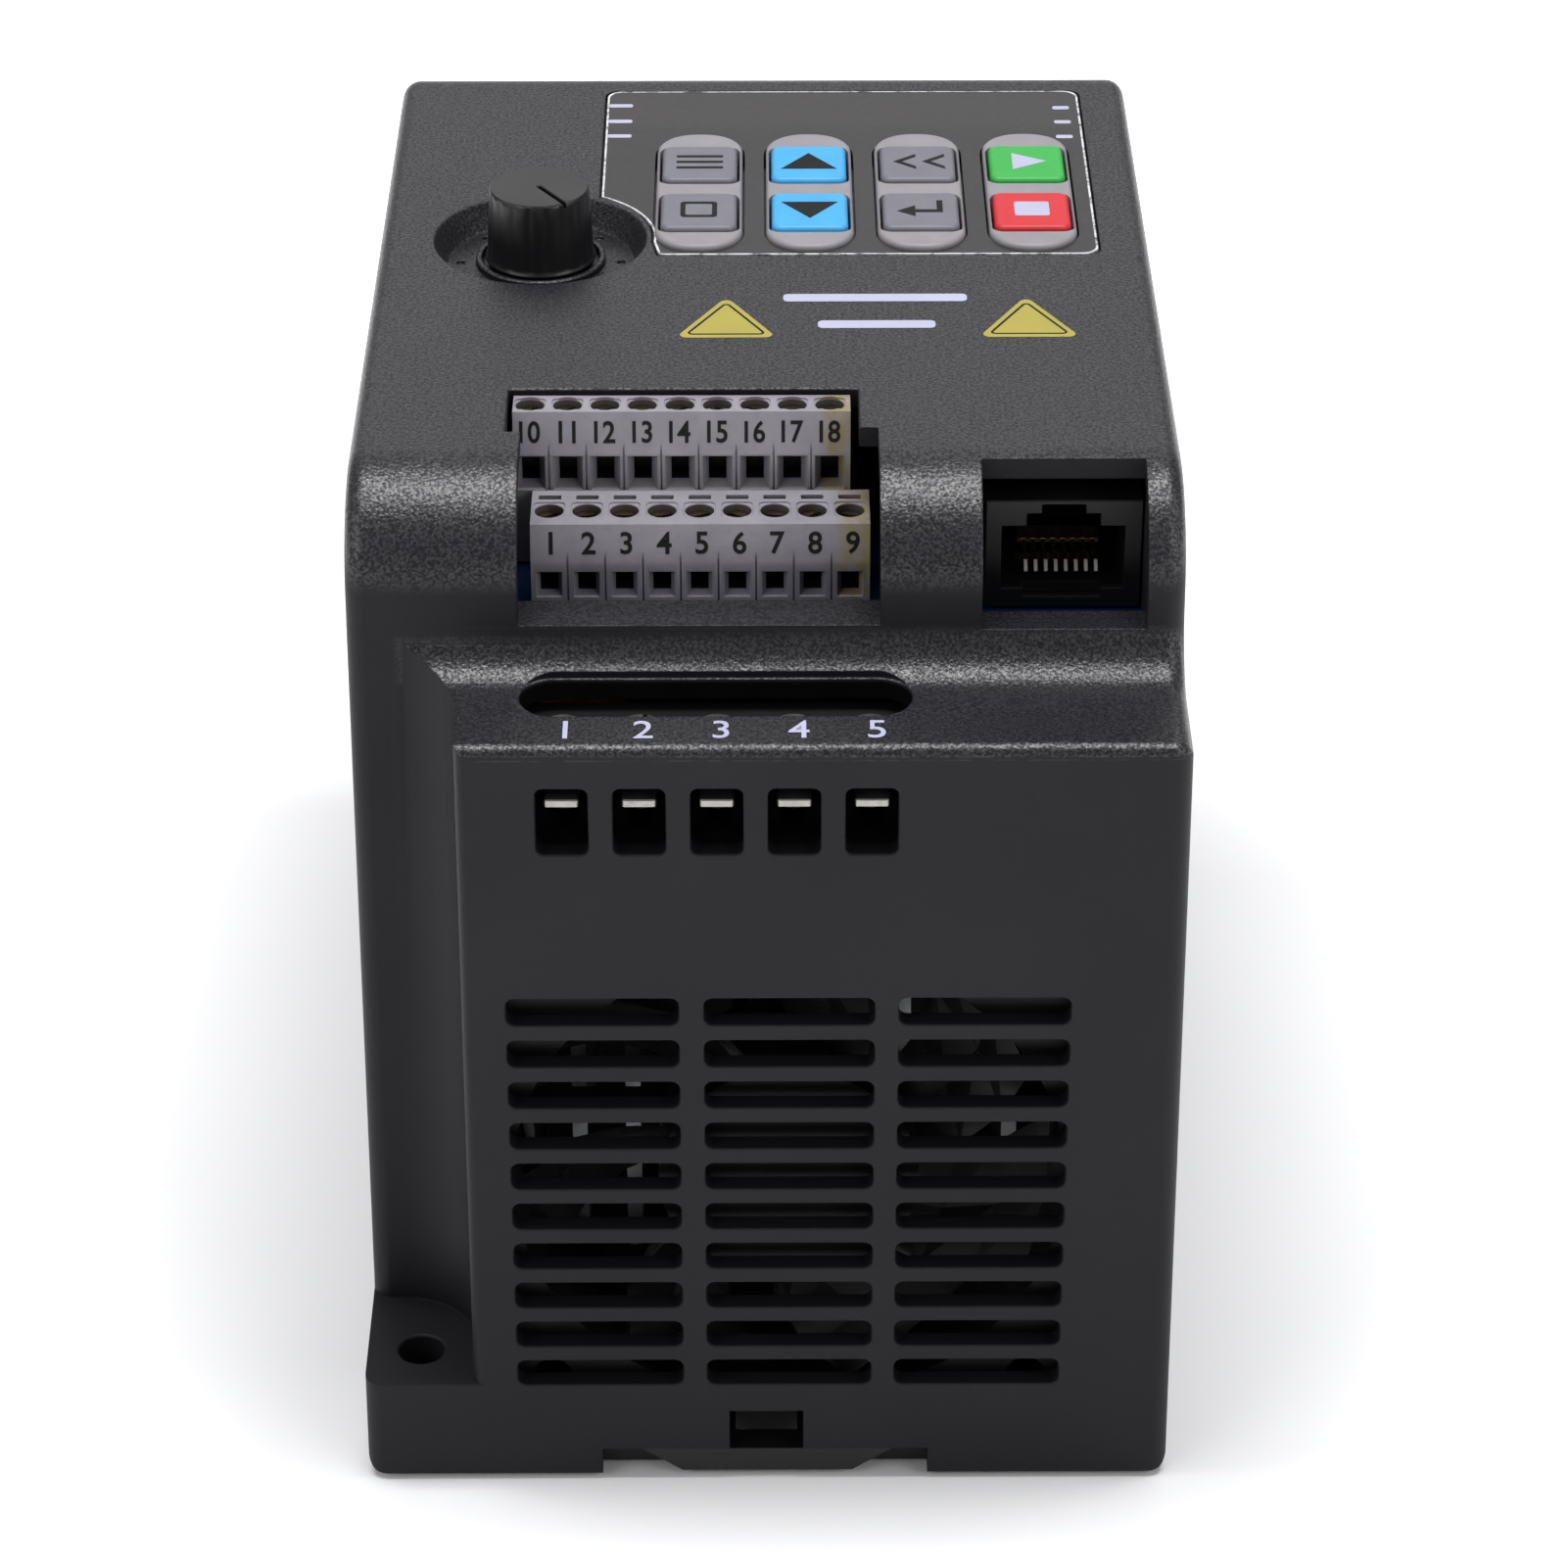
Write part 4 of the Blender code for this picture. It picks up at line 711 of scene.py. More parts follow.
def silicone(name, rgb, rough=0.48):
    t = Tree(name)
    big, fine = t.noise(0.35, 3.0), t.noise(9.0, 2.0)
    grime = t.remap(t.noise(0.9, 5.0, 0.65), 0.55, 0.8, 0.0, 0.20)
    col = t.mix(t.remap(big, 0.3, 0.7, 0.0, 1.0), scaled(rgb, 0.94), scaled(rgb, 1.05))
    col = t.mix(grime, col, scaled(rgb, 0.7))
    ro = t.remap(fine, 0.3, 0.7, rough - 0.06, rough + 0.07)
    return t.out(col, ro, t.bump(fine, 0.12, 0.03), Subsurface_Weight=0.12, Subsurface_Scale=0.0012)


M["film"] = film_material()
M["worn"] = worn_edge_material()
M["pad"] = silicone("key_pad_silicone", (0.24, 0.232, 0.247))
KEY_MATS = {"grey": silicone("key_grey", (0.150, 0.147, 0.172)), "blue": silicone("key_blue", (0.042, 0.33, 0.66)),
            "green": silicone("key_green", (0.028, 0.36, 0.055)), "red": silicone("key_red", (0.52, 0.016, 0.022))}


def make_keypad():
    film = loft("keypad_film", [(u, w, 0) for u, w in film_outline(0.3)], [(DEPTH - 0.5, 0), (DEPTH - 0.03, 0), (DEPTH, 0.03)], "Z", 1)
    boolean(film, group("fg", [loft("g%d" % i, stadium((x - 5.0, x + 5.0), (72.4, 102.9)), [(104, 0), (DEPTH + 5, 0)], "Z", 14) for i, x in enumerate(KEY_X)]))
    done(tidy(film, 30), M["film"], replaces="keypad_overlay")
    # whitish cut edge of the film
    bm = bmesh.new()
    o_, i_ = film_outline(0.28), film_outline(0.50)
    rows = [[bm.verts.new(place((u, w, h))) for u, w in pts] for pts, h in ((o_, DEPTH - 0.3), (o_, DEPTH + 0.03), (i_, DEPTH + 0.045), (i_, DEPTH - 0.1))]
    for a, b in zip(rows, rows[1:] + rows[:1]):
        for i in range(len(a)):
            j = (i + 1) % len(a)
            bm.faces.new((a[i], a[j], b[j], b[i]))
    done(link("keypad_film_edge", bm), M["worn"])
    # indicator marks at the film's upper corners
    loops = [bar(-17.6, -14.9, y - 0.45, y + 0.45) for y in (111.7, 107.3, 103.2)] + [bar(33.0, 34.9, y - 0.45, y + 0.45) for y in (110.9, 106.9, 102.8)]
    done(flat_shape("indicator_marks", loops, (0, 0, TOP), (1, 0, 0), (0, 1, 0), 0.0), M["print"])
    # arched silicone pads
    pads = []
    for i, x in enumerate(KEY_X):
        c = stadium((x - 4.75, x + 4.75), (72.7, 102.6), 0.92)
        pads.append(loft("pad%d" % i, c, [(106.0, 0), (109.05, 0), (109.35, 0.06), (109.55, 0.25), (109.65, 0.6)], "Z", 14))
    mat = box("mat", (-13.4, 35.4), (71.0, 104.2), (105.2, 106.5))
    boolean(mat, cyl("dial", DIAL, 100, 115, 12.2, seg=48))
    pad = group("keypad_silicone", pads)
    boolean(pad, mat, "UNION")
    wells = [loft("w%d%d" % (i, j), rect((x - KEY_W / 2 - 0.18, x + KEY_W / 2 + 0.18), (y - KEY_L / 2 - 0.18, y + KEY_L / 2 + 0.18), 1.2), [(100, 0), (109.3, 0), (109.7, -0.15), (115, -0.15)], "Z", 6) for i, x in enumerate(KEY_X) for j, y in enumerate(KEY_Y)]
    boolean(pad, group("wells", wells))
    done(tidy(pad, 35), M["pad"], replaces="keypad_mat")

    spec = {"key_menu": (0, 0, "grey"), "key_up": (1, 0, "blue"), "key_shift": (2, 0, "grey"), "key_run": (3, 0, "green"),
            "key_function": (0, 1, "grey"), "key_down": (1, 1, "blue"), "key_enter": (2, 1, "grey"), "key_stop": (3, 1, "red")}
    H = 110.1
    icons = {
        "key_menu": [bar(-2.6, 2.6, y - 0.28, y + 0.28) for y in (-1.5, 0.0, 1.5)],
        "key_up": [[(-3.1, -1.9), (3.1, -1.9), (0.0, 2.3)]],
        "key_down": [[(-3.1, 1.9), (0.0, -2.3), (3.1, 1.9)]],
        "key_shift": [[(dx + 1.3, 2.0), (dx - 1.2, 0.0), (dx + 1.3, -2.0), (dx + 1.3, -1.3), (dx - 0.25, 0.0), (dx + 1.3, 1.3)] for dx in (-1.5, 1.7)],
        "key_run": [[(-1.6, -2.2), (2.2, 0.0), (-1.6, 2.2)]],
        "key_function": [outline(rect((-2.0, 2.0), (-2.0, 2.0), 0.5), 4)],
        "key_enter": [[(2.4, 2.2), (2.4, -0.85), (-0.6, -0.85), (-0.6, -1.9), (-2.6, -0.5), (-0.6, 0.9), (-0.6, -0.15), (1.75, -0.15), (1.75, 2.2)]],
        "key_stop": [outline(rect((-1.9, 1.9), (-1.8, 1.8), 0.3), 4)],
    }
    for nm, (i, j, c) in spec.items():
        x, y = KEY_X[i], KEY_Y[j]
        corners = rect((x - KEY_W / 2, x + KEY_W / 2), (y - KEY_L / 2, y + KEY_L / 2), 1.15)
        r = 0.55
        key = loft(nm + "_cap", corners, [(104.6, 0), (H - r - 1.0, 0), (H - r, 0.06)] + [(H - r + r * math.sin(a), 0.06 + r * (1 - math.cos(a))) for a in (math.pi / 2 * k / 6 for k in range(1, 7))], "Z", 8)
        done(tidy(key, 35), KEY_MATS[c], nm, nm)
        loops = icons[nm]
        if nm == "key_function":   # an open square
            a, b = outline(rect((-2.0, 2.0), (-2.0, 2.0), 0.5), 4), outline(rect((-1.45, 1.45), (-1.45, 1.45), 0.25), 4)
            bm = bmesh.new()
            rr = [[bm.verts.new(place((x + u, y + w, H + h))) for u, w in pts] for pts, h in ((a, 0.0), (a, 0.03), (b, 0.03), (b, 0.0))]
            for p, q in zip(rr, rr[1:] + rr[:1]):
                for k in range(len(p)):
                    kk = (k + 1) % len(p)
                    bm.faces.new((p[k], p[kk], q[kk], q[k]))
            mark = link(nm + "_mark", bm)
        else:
            mark = flat_shape(nm + "_mark", loops, (x, y, H), (1, 0, 0), (0, 1, 0), 0.0)
        done(mark, M["print"] if c in ("green", "red") else M["ink"], nm)


make_keypad()


# ------------------------------------------------------------------ dial knob
def make_knob():
    prof = [(0.0, 106.75), (5.55, 106.75), (5.95, 106.9), (6.0, 107.15), (5.9, 107.35), (5.78, 107.7), (5.66, 110.0), (5.5, 113.2), (5.42, 114.55), (5.34, 114.9), (5.18, 115.07), (5.0, 115.1), (0.0, 115.1)]
    seg = 144
    bm = bmesh.new()
    rings = []
    for r, h in prof:
        if r == 0:
            rings.append([bm.verts.new(place((*DIAL, h)))])
            continue
        depth = 0.10 if 107.6 < h < 114.7 else 0.0
        rings.append([bm.verts.new(place((DIAL[0] + (r - depth * (0.5 + 0.5 * math.cos(18 * a)) ** 3) * math.cos(a), DIAL[1] + (r - depth * (0.5 + 0.5 * math.cos(18 * a)) ** 3) * math.sin(a), h))) for a in (2 * math.pi * k / seg for k in range(seg))])
    for lo, hi in zip(rings, rings[1:]):
        for k in range(seg):
            vs = [lo[k % len(lo)], lo[(k + 1) % len(lo)], hi[(k + 1) % len(hi)], hi[k % len(hi)]]
            vs = [v for i, v in enumerate(vs) if v not in vs[:i]]
            bm.faces.new(vs)
    knob = link("knob_cap", bm)
    boolean(knob, cyl("bore", DIAL, 100, 113.3, 3.15, seg=48))
    a = math.radians(POINTER_DEG)
    groove = loft("groove", rect((-0.2, 7.0), (LENGTH / 2 - 0.22, LENGTH / 2 + 0.22), 0.2), [(114.45, 0.06), (115.0, 0), (115.12, -0.12), (117, -0.12)], "Z", 4)
    groove.data.transform(Matrix.Translation(place((DIAL[0], DIAL[1], 0))) @ Matrix.Rotation(a, 4, "Z"))
    boolean(knob, groove)
    done(tidy(knob, 32), M["knob"], "knob", "knob")


make_knob()


# ------------------------------------------------------------------ control terminals
def terminal_material(name, stain_x, shaded_hollows):
    t = Tree(name)
    x, y, z = t.xyz()
    big, fine = t.noise(0.25, 3.0), t.noise(8.0, 2.0)
    col = t.mix(t.remap(big, 0.3, 0.7, 0.0, 1.0), (0.225, 0.212, 0.240), (0.262, 0.248, 0.278))
    yel = t.math("MULTIPLY", t.remap(x, stain_x - 3.4, stain_x - 1.2, 0.0, 1.0, True), t.remap(t.noise(0.6, 4.0), 0.35, 0.6, 0.15, 0.8))
    col = t.mix(yel, col, (0.235, 0.185, 0.05))
    grime = t.math("MULTIPLY", t.remap(t.noise(0.8, 5.0, 0.65), 0.5, 0.75, 0.0, 1.0), 0.25)
    col = t.mix(grime, col, (0.11, 0.10, 0.11))
    # painted shade: the insides of the wire passages are made near black and the screw wells dark grey-brown
    def within(v, a, b):
        return t.math("MULTIPLY", t.math("GREATER_THAN", v, a), t.math("LESS_THAN", v, b))
    for (y0, y1), (z0, z1), dark in shaded_hollows:
        inside = t.math("MULTIPLY", within(y, y0 - LENGTH / 2, y1 - LENGTH / 2), within(z, z0, z1))
        col = t.mix(inside, col, dark)
    ro = t.remap(fine, 0.3, 0.7, 0.40, 0.54)
    return t.out(col, ro, t.bump(fine, 0.12, 0.03))


# the two boxes in each call are painted shade inside the wire passages and the screw wells
M["term_lo"] = terminal_material("terminal_plastic_lower", 10.0, (((27.05, 31.9), (92.6, 94.9), (0.010, 0.010, 0.011)), ((28.65, 33.3), (95.0, 99.85), (0.060, 0.055, 0.055))))
M["term_up"] = terminal_material("terminal_plastic_upper", 8.2, (((36.0, 38.9), (100.6, 103.45), (0.010, 0.010, 0.011)), ((36.05, 39.15), (103.6, 108.05), (0.060, 0.055, 0.055))))
LOWER_ANGLES = (35, 10, 0, 15, 25, -30, -8, 40, -15)
UPPER_ANGLES = (45, 45, 35, -5, 50, 90, -40, 10, -25)


def slotted_screw(name, c, top, r, angle, under, slot_w=0.5, slot_d=0.55, cross=False, seg=32):
    """Round-headed screw with a real slot, its head's rim rounded."""
    s = turned(name, c, [(0, under), (r * 0.62, under), (r * 0.62, top - 1.3), (r - 0.05, top - 1.25), (r, top - 1.15), (r, top - 0.3), (r - 0.1, top - 0.1), (r - 0.32, top - 0.02), (r * 0.45, top), (0, top)], seg=seg)
    if not cross:
        cuts = [loft("c", rect((-r * 1.2, r * 1.2), (LENGTH / 2 - slot_w / 2, LENGTH / 2 + slot_w / 2)), [(top - slot_d, 0.04), (top - 0.05, 0), (top + 0.6, -0.2)], "Z", 1)]
    else:
        cuts = [loft("c", rect((-r * 0.66, r * 0.66), (LENGTH / 2 - slot_w / 2, LENGTH / 2 + slot_w / 2)), [(top - slot_d, 0.12), (top - 0.05, 0), (top + 0.6, -0.1)], "Z", 1)]
        cuts.append(loft("d", rect((-slot_w / 2, slot_w / 2), (LENGTH / 2 - r * 0.66, LENGTH / 2 + r * 0.66)), [(top - slot_d, 0.12), (top - 0.05, 0), (top + 0.6, -0.1)], "Z", 1))
        cuts.append(loft("e", rect((-r * 1.2, r * 1.2), (LENGTH / 2 - slot_w * 0.32, LENGTH / 2 + slot_w * 0.32)), [(top - slot_d * 0.6, 0), (top + 0.6, 0)], "Z", 1))
    for k in cuts:
        k.data.transform(Matrix.Translation(place((c[0], c[1], 0))) @ Matrix.Rotation(math.radians(angle), 4, "Z"))
        boolean(s, k)
    return tidy(s, 35)


def make_terminals():
    lo = prism("control_lower", [(34.3, 91.8), (26.05, 91.8), (26.05, 96.4), (26.9, 100.2), (34.3, 100.2)], -23.7, 10.6, "X")
    up = prism("control_upper", [(39.4, 91.8), (34.6, 91.8), (34.6, 104.2), (35.75, 108.4), (39.4, 108.4)], -25.6, 8.7, "X")
    ways = [LOWER_X + WAY_PITCH * i for i in range(9)]
    carve(lo, [loft("c", rect((x - 0.9, x + 0.9), (92.75, 94.8)), [(25.5, -0.55), (26.05, -0.42), (26.95, 0.0), (31.5, 0.0)], "Y", 1) for x in ways],
          [loft("e", rect((x - 1.6, x + 1.6), (28.3, 31.75), 0.5), [(100.0, 0), (103, 0)], "Z", 3) for x in ways],
          [cyl("a", (x, 30.2), 95.6, 104, 1.48, seg=32) for x in ways],
          [loft("d", rect((x - 1.15, x + 1.15), (32.35, 33.2), 0.1), [(97.5, 0), (103.5, 0)], "Z", 2) for x in ways],
          [box("g", (x + WAY_PITCH / 2 - 0.09, x + WAY_PITCH / 2 + 0.09), (20, 26.3), (90, 98.5)) for x in ways[:8]])
    ways = [UPPER_X + WAY_PITCH * i for i in range(9)]
    carve(up, [loft("c", rect((x - 0.9, x + 0.9), (100.7, 103.3)), [(34.0, -0.75), (34.6, -0.62), (35.9, 0.0), (38.6, 0.0)], "Y", 1) for x in ways],
          [loft("e", rect((x - 1.6, x + 1.6), (36.35, 38.8), 0.5), [(108.2, 0), (111, 0)], "Z", 3) for x in ways],
          [cyl("a", (x, 37.6), 104.2, 112, 1.48, seg=32) for x in ways],
          [box("g", (x + WAY_PITCH / 2 - 0.09, x + WAY_PITCH / 2 + 0.09), (30, 34.9), (99, 106)) for x in ways[:8]])
    done(tidy(lo, 30, 0.09, 2, 50), M["term_lo"], replaces="control_terminal_lower")
    done(tidy(up, 30, 0.09, 2, 50), M["term_up"], replaces="control_terminal_upper")
    for i in range(9):
        for tag, x0, y, top, ang in (("lower", LOWER_X, 30.2, 99.35, LOWER_ANGLES), ("upper", UPPER_X, 37.6, 107.55, UPPER_ANGLES)):
            s = slotted_screw("control_%s_screw_%d" % (tag, i + 1), (x0 + WAY_PITCH * i, y), top, 1.38, ang[i], top - 4.0, 0.56, 0.8, seg=28)
            done(s, M["screw"])
    sl = Vector((0, 0.85, 3.8)).normalized()
    done(text_shape("lower_way_numbers", [(str(i + 1), (LOWER_X + 0.25 + WAY_PITCH * i, 26.05 + 0.85 * 0.50, 96.4 + 3.8 * 0.50)) for i in range(9)], 2.35, (1, 0, 0), sl, 0.0, 0.95, 0.03, 0.06), M["ink"])
    su = Vector((0, 1.15, 4.2)).normalized()
    done(text_shape("upper_way_numbers", [(str(i + 10), (UPPER_X + WAY_PITCH * i, 34.6 + 1.15 * 0.52, 104.2 + 4.2 * 0.52)) for i in range(9)], 2.3, (1, 0, 0), su, 0.0, 0.85, 0.03, 0.06), M["ink"])


make_terminals()


# ------------------------------------------------------------------ network socket
def make_socket():
    jack = loft("network_socket_shell", [(24.8, 91.8, 0.1), (42.5, 91.8, 0.1), (42.5, 103.9, 0.25), (24.8, 103.9, 0.25)], [(22.1, 0.12), (22.22, 0), (37.78, 0), (37.9, 0.12)], "X", 3)
    cx = 29.95
    carve(jack, [box("a", (23.75, 36.15), (20, 40.5), (93.9, 101.0))], [box("b", (26.25, 33.65), (19, 38.5), (99, 102.4))],
          [box("c", (27.75, 32.15), (18, 36.5), (98, 103.4))], [box("d", (26.0, 33.9), (17, 26.4), (92.9, 95.5))])
    done(tidy(jack, 30, 0.10, 2, 50), M["black"], replaces="network_jack")
    c0 = cx - 3.5 * 1.016
    comb = box("plate", (c0 - 0.6, c0 + 7 * 1.016 + 0.6), (33.4, 36.2), (94.57, 95.0))
    fingers = []
    for i in range(8):
        x = c0 + 1.016 * i
        pts = [(27.0, 94.60), (27.25, 94.55), (33.6, 94.57), (33.6, 94.98), (27.35, 94.98), (27.0, 94.86)]
        fingers.append(prism("f", pts, x - 0.22, x + 0.22, "X"))
    boolean(comb, group("fg", fingers), "UNION")
    done(tidy(comb, 30), M["gold"], replaces="jack_contacts")
    # short tips where the plug meets the contacts, coloured pale as a painted highlight for the glints on the gold
    # contacts
    wires = []
    for i in range(8):
        x = c0 + 1.016 * i
        wires.append(prism("w", [(26.95, 94.7), (27.3, 94.72), (28.1, 95.35), (28.0, 95.5), (27.6, 95.4), (26.95, 94.95)], x - 0.17, x + 0.17, "X"))
    done(tidy(group("network_contact_tips", wires), 30), M["tips"])


make_socket()


# ------------------------------------------------------------------ power terminals
def make_power():
    for tag, count in (("output", 5), ("input", 3)):
        for i in range(count):
            x, y = OUT_FIRST_X + POLE_PITCH * i, SCREW_Y
            if tag == "input":
                x, y = -x, LENGTH - y
            nm = "%s_screw_%d" % (tag, i + 1)
            s = slotted_screw(nm + "_head", (x, y), 87.2, 2.2, (20, 75, -30, 50, 5)[i] + (90 if tag == "input" else 0), 78.2, 0.75, 0.9, cross=True, seg=40)
            # keep within the CAD screw's length
            done(s, M["steel"], nm, nm)


make_power()
ribs = [loft("rib", rect((OUT_FIRST_X + POLE_PITCH * (i + 0.5) - 0.4, OUT_FIRST_X + POLE_PITCH * (i + 0.5) + 0.4), (5.5, 6.7), 0.25), both_rims(86.85, 88.1, 0.2, 3), "Z", 3) for i in range(4)]
done(tidy(group("output_pole_ribs", ribs), 35), M["black"])
for nm in sorted(NODES):
    if nm.startswith(("output_clamp", "input_clamp")):
        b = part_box(nm)
        lo, hi = b
        x0, x1 = lo.x / MM, hi.x / MM
        y0, y1 = lo.y / MM + LENGTH / 2, hi.y / MM + LENGTH / 2
        plate = loft(nm + "_plate", rect((x0, x1), (y0, y1), 0.3), [(lo.z / MM, 0.12), (lo.z / MM + 0.12, 0), (hi.z / MM - 0.12, 0), (hi.z / MM, 0.12)], "Z", 3)
        cx, cy = (x0 + x1) / 2, SCREW_Y if y0 < 40 else LENGTH - SCREW_Y
        boolean(plate, cyl("h", (cx, cy), 60, 100, 1.5, seg=24))
        done(tidy(plate, 35), M["steel"], replaces=nm)


# ------------------------------------------------------------------ spring of the rail clip
def make_spring():
    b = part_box("din_spring")
    lo, hi = b
    y0, y1 = lo.y / MM + LENGTH / 2, hi.y / MM + LENGTH / 2
    cx, cz = (lo.x + hi.x) / 2 / MM, (lo.z + hi.z) / 2 / MM
    wire = 0.28
    r = min(hi.x - lo.x, hi.z - lo.z) / 2 / MM - wire
    turns, per, sides = 9, 20, 8
    a0, a1 = y0 + wire, y1 - wire
    n = turns * per
    bm = bmesh.new()
    rings = []
    for k in range(n + 1):
        f = k / n
        # closed end turns, open in the middle
        g = f if f < 0.0 else (0.06 * f / 0.11 if f < 0.11 else (0.94 + 0.06 * (f - 0.89) / 0.11 if f > 0.89 else 0.06 + 0.88 * (f - 0.11) / 0.78))
        a = 2 * math.pi * turns * f
        c = Vector((cx + r * math.cos(a), a0 + (a1 - a0) * g, cz + r * math.sin(a)))
        out = Vector((math.cos(a), 0, math.sin(a)))
        rings.append([bm.verts.new(place(c + out * (wire * math.cos(q)) + Vector((0, wire * math.sin(q), 0)))) for q in (2 * math.pi * j / sides for j in range(sides))])
    for p, q in zip(rings, rings[1:]):
        for j in range(sides):
            bm.faces.new((p[j], p[(j + 1) % sides], q[(j + 1) % sides], q[j]))
    bm.faces.new(rings[0])
    bm.faces.new(rings[-1])
    coil = tidy(link("din_spring_coil", bm), 50)
    done(coil, M["steel"], replaces="din_spring")
    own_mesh(coil)


make_spring()


# ------------------------------------------------------------------ materials for the nodes carried over from the CAD
def board(name, rgb, edge=False):
    t = Tree(name)
    x, y, z = t.xyz()
    weave = t.noise(3.0, 2.0)
    pads = t.remap(t.voronoi(0.55, "F1"), 0.20, 0.24, 1.0, 0.0)
    top = scaled(rgb, 0.10) if edge else rgb
    col = t.mix(t.remap(weave, 0.3, 0.7, 0.0, 1.0), scaled(top, 0.85), scaled(top, 1.15))
    col = t.mix(t.remap(t.voronoi(0.9, "F1"), 0.48, 0.52, 0.0, 0.35), col, scaled(top, 1.7))
    col = t.mix(t.math("MULTIPLY", pads, 0.0 if edge else 0.65), col, (0.55, 0.54, 0.50))
    if edge:
        cut = t.math("MULTIPLY", t.math("LESS_THAN", y, -52.05), t.math("LESS_THAN", x, 13.0))
        col = t.mix(cut, col, scaled(rgb, 0.8))
    return t.out(col, t.remap(weave, 0.3, 0.7, 0.34, 0.46), t.bump(weave, 0.1, 0.05), Specular_IOR_Level=0.3)


def weave_material(name, rgb, rough, scale, strength=0.3):
    t = Tree(name)
    n = t.noise(scale, 3.0)
    w = t.noise(0.3, 3.0)
    col = t.mix(t.remap(w, 0.3, 0.7, 0.0, 1.0), scaled(rgb, 0.8), scaled(rgb, 1.15))
    return t.out(col, t.remap(n, 0.3, 0.7, rough - 0.08, rough + 0.08), t.bump(n, strength, 0.05))


M["board_blue"] = board("board_blue", (0.02, 0.10, 0.42), True)
M["board_green"] = board("board_green", (0.015, 0.14, 0.05))
M["sleeve"] = weave_material("capacitor_sleeve", (0.02, 0.022, 0.03), 0.35, 2.0, 0.15)
M["relay"] = weave_material("relay_case", (0.03, 0.05, 0.16), 0.42, 6.0, 0.15)
M["tape"] = weave_material("transformer_tape", (0.62, 0.50, 0.12), 0.45, 1.5, 0.25)
M["winding"] = weave_material("copper_winding", (0.55, 0.22, 0.08), 0.35, 5.0, 0.4)
M["display"] = moulded("display_smoked_lens", (0.016, 0.015, 0.017), 0.22, 10.0, 0.05, 0.01, 0.08)
BY_SLOT = {"housing_plastic": "housing", "keypad_film": "film", "keypad_silicone": "pad", "black_plastic": "black", "display": "display",
           "terminal_plastic": "term_lo", "board_blue": "board_blue", "board_green": "board_green", "zinc_steel": "steel",
           "gold_contact": "gold", "aluminium": "alu", "capacitor_sleeve": "sleeve", "relay_case": "relay", "transformer_tape": "tape", "winding": "winding"}
OWN = {"rear_base": "base", "fan_rotor": "black", "fan_frame": "black", "din_clip": "black"}
for nm, ob in NODES.items():
    if nm not in bpy.data.objects or bpy.data.objects[nm].type != "MESH":
        continue
    for s in bpy.data.objects[nm].material_slots:
        key = s.material.name.split(".")[0] if s.material else ""
        mat = M.get(OWN.get(nm, "")) or M.get(BY_SLOT.get(key, "")) or KEY_MATS.get(key[4:])
        if mat is None:
            print("NO MATERIAL", nm, key)
            mat = M["black"]
        s.material = mat


# ------------------------------------------------------------------ camera, lights and floor
F_PX, TILT, YAW, TX, D0, CC = 5084.0, math.radians(31.144), math.radians(0.305), -1.76, 530.22, 73.49
r = Vector((math.cos(YAW), -math.sin(YAW), 0))
fh = Vector((math.sin(YAW), math.cos(YAW), 0))
up = Vector((0, 0, 1))
F = fh * math.cos(TILT) - up * math.sin(TILT)
U = fh * math.sin(TILT) + up * math.cos(TILT)
P = -TX * r - D0 * F + CC * U
P.y -= LENGTH / 2
cam = bpy.data.cameras.new("camera")
cam.sensor_width, cam.lens = 36.0, F_PX / 1601.0 * 36.0
cam.clip_start, cam.clip_end = 0.02, 20.0
cam_ob = bpy.data.objects.new("camera", cam)
COLL.objects.link(cam_ob)
cam_ob.matrix_world = Matrix(((r.x, U.x, -F.x, P.x * MM), (r.y, U.y, -F.y, P.y * MM), (r.z, U.z, -F.z, P.z * MM), (0, 0, 0, 1)))
bpy.context.scene.camera = cam_ob


def area(name, loc, aim, size, power, color=(1, 1, 1)):
    li = bpy.data.lights.new(name, "AREA")
    li.shape, li.size, li.size_y, li.energy, li.color = "RECTANGLE", size[0], size[1], power, color
    ob = bpy.data.objects.new(name, li)
    COLL.objects.link(ob)
    ob.location = loc
    ob.rotation_euler = (Vector(aim) - Vector(loc)).to_track_quat("-Z", "Y").to_euler()
    return ob


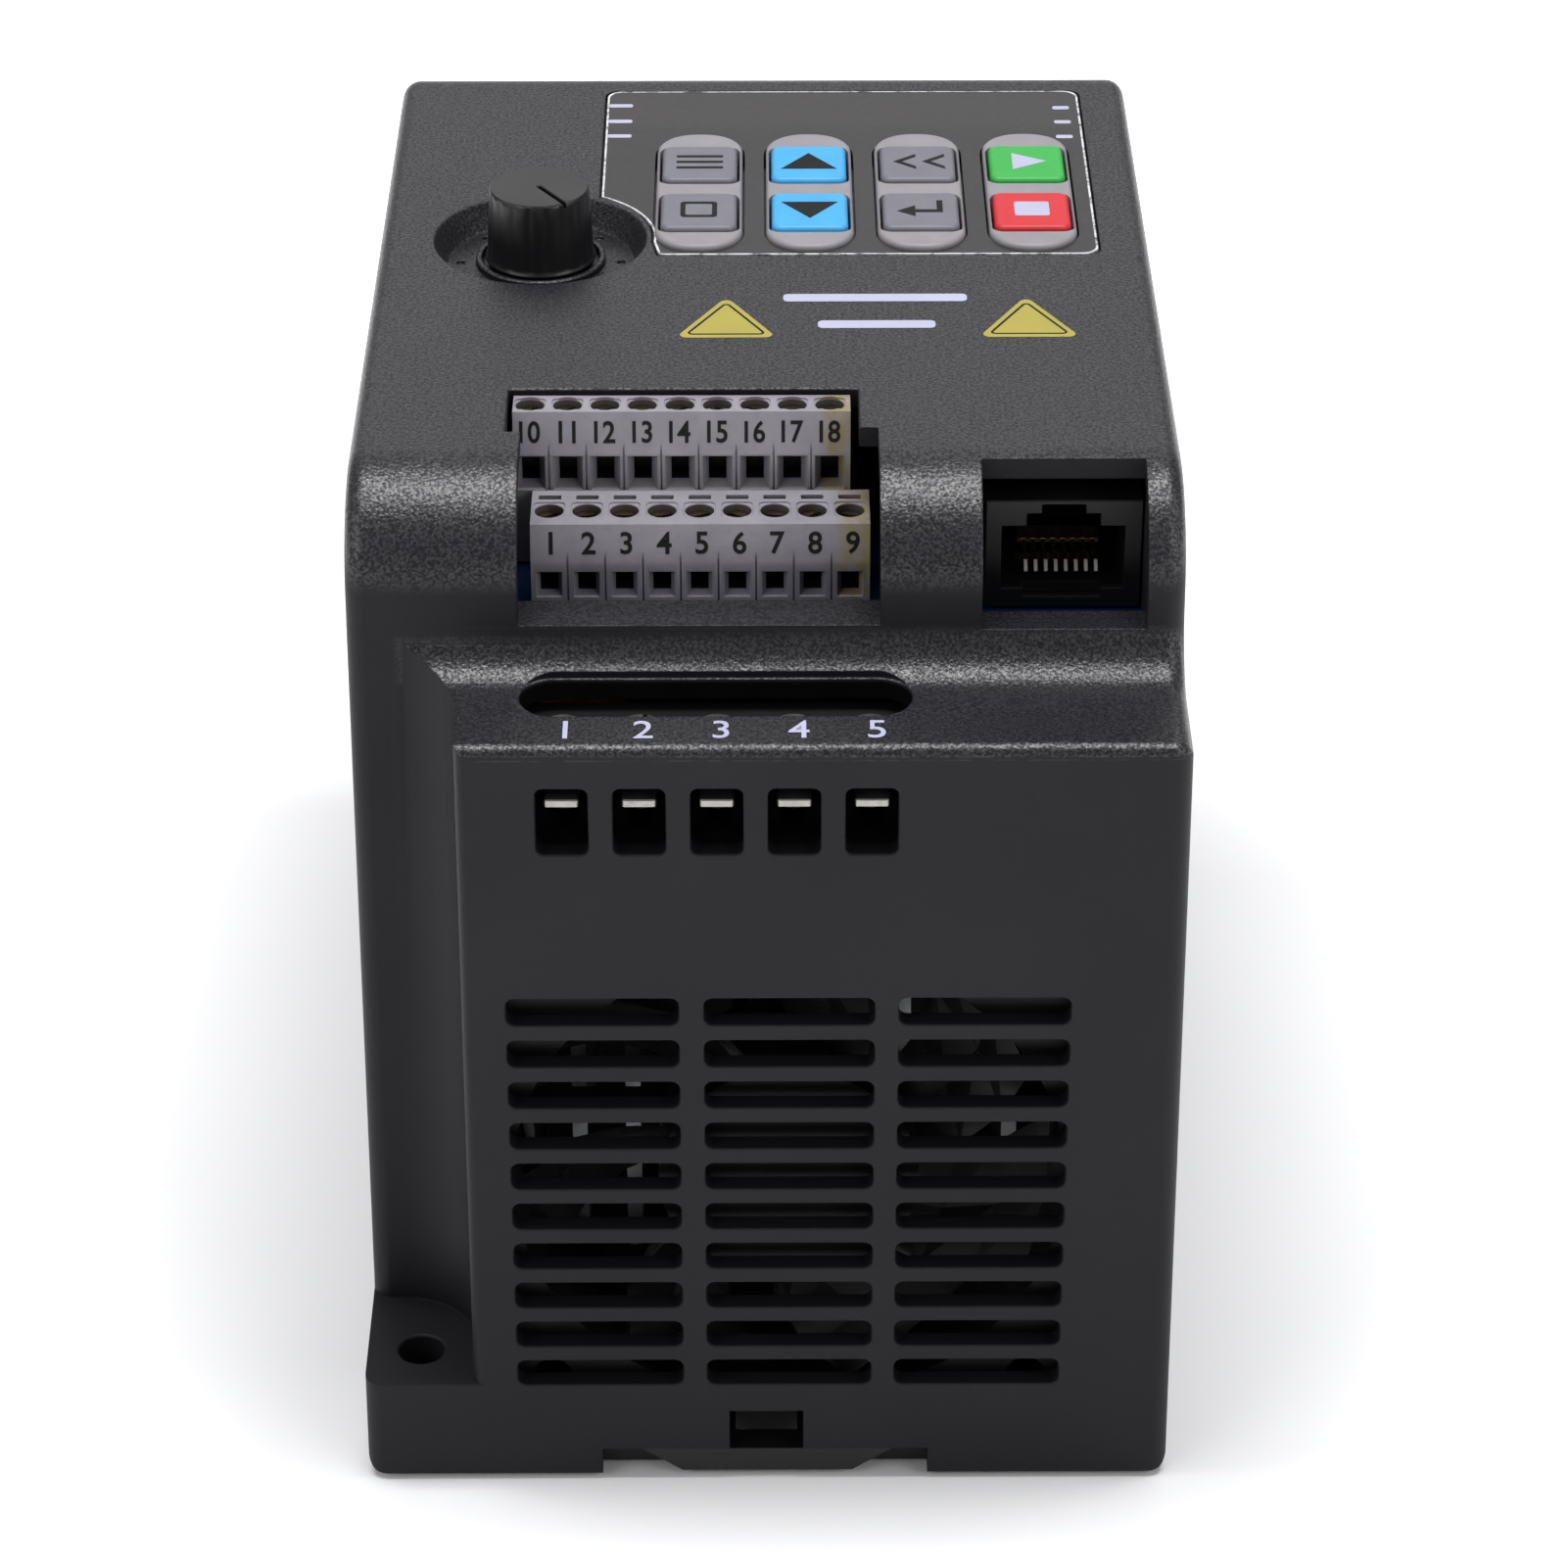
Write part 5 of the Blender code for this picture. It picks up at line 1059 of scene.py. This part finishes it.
area("top_softbox", (0.0, 0.0, 1.22), (0, -0.02, 0.08), (0.95, 0.30), 15.0)
area("front_fill_left", (-1.05, -0.95, 0.85), (0, 0, 0.06), (0.8, 0.6), 4.6)
area("front_fill_right", (1.05, -0.95, 0.85), (0, 0, 0.06), (0.8, 0.6), 4.6)
area("rear_softbox", (0.0, 1.15, 0.74), (0, 0, 0.1), (1.4, 0.5), 1.95)
area("left_softbox", (-1.0, -0.1, 0.75), (0, 0, 0.08), (0.7, 0.5), 1.3)
area("right_softbox", (1.0, -0.1, 0.75), (0, 0, 0.08), (0.7, 0.5), 1.3)

world = bpy.data.worlds.new("studio")
bpy.context.scene.world = world
world.use_nodes = True
world.node_tree.nodes["Background"].inputs["Color"].default_value = (0.95, 0.96, 1.0, 1.0)
world.node_tree.nodes["Background"].inputs["Strength"].default_value = 0.24

t = Tree("studio_floor")
n = t.noise(0.02, 2.0)
fx, fy, fz = t.xyz()
# painted light: the floor itself glows, rising with distance from the object and fading out far away, to brighten the
# backdrop
away = t.math("MAXIMUM", t.math("SUBTRACT", t.math("ABSOLUTE", fx), 44.0), t.math("SUBTRACT", t.math("ABSOLUTE", fy), 73.0))
lift = t.math("MULTIPLY", t.remap(away, 2.0, 170.0, 0.0, 0.75, True), t.remap(away, 800.0, 1300.0, 1.0, 0.0, True))
t.t.links.new(lift, t.b.inputs["Emission Strength"])
FLOOR_MAT = t.out(t.mix(n, (0.87, 0.87, 0.875), (0.90, 0.90, 0.905)), 0.75, t.bump(t.noise(0.4, 2.0), 0.03, 0.05), Emission_Color=(1.0, 1.0, 1.0, 1.0), Specular_IOR_Level=0.2)
bm = bmesh.new()
side, n = 3.0, 24
pts = [(-3.0, 0.0)] + [(2.2 + 0.9 * math.sin(math.pi / 2 * k / n), 0.9 * (1 - math.cos(math.pi / 2 * k / n))) for k in range(n + 1)] + [(3.1, 3.0)]
rows = [(bm.verts.new((-side, y, z - 0.0005)), bm.verts.new((side, y, z - 0.0005))) for y, z in pts]
for a, b in zip(rows, rows[1:]):
    bm.faces.new((a[0], a[1], b[1], b[0]))
me = bpy.data.meshes.new("studio_floor")
bm.to_mesh(me)
bm.free()
me.shade_smooth()
me.materials.append(FLOOR_MAT)
floor = bpy.data.objects.new("studio_floor", me)
COLL.objects.link(floor)

bpy.context.scene.view_settings.view_transform = "Standard"
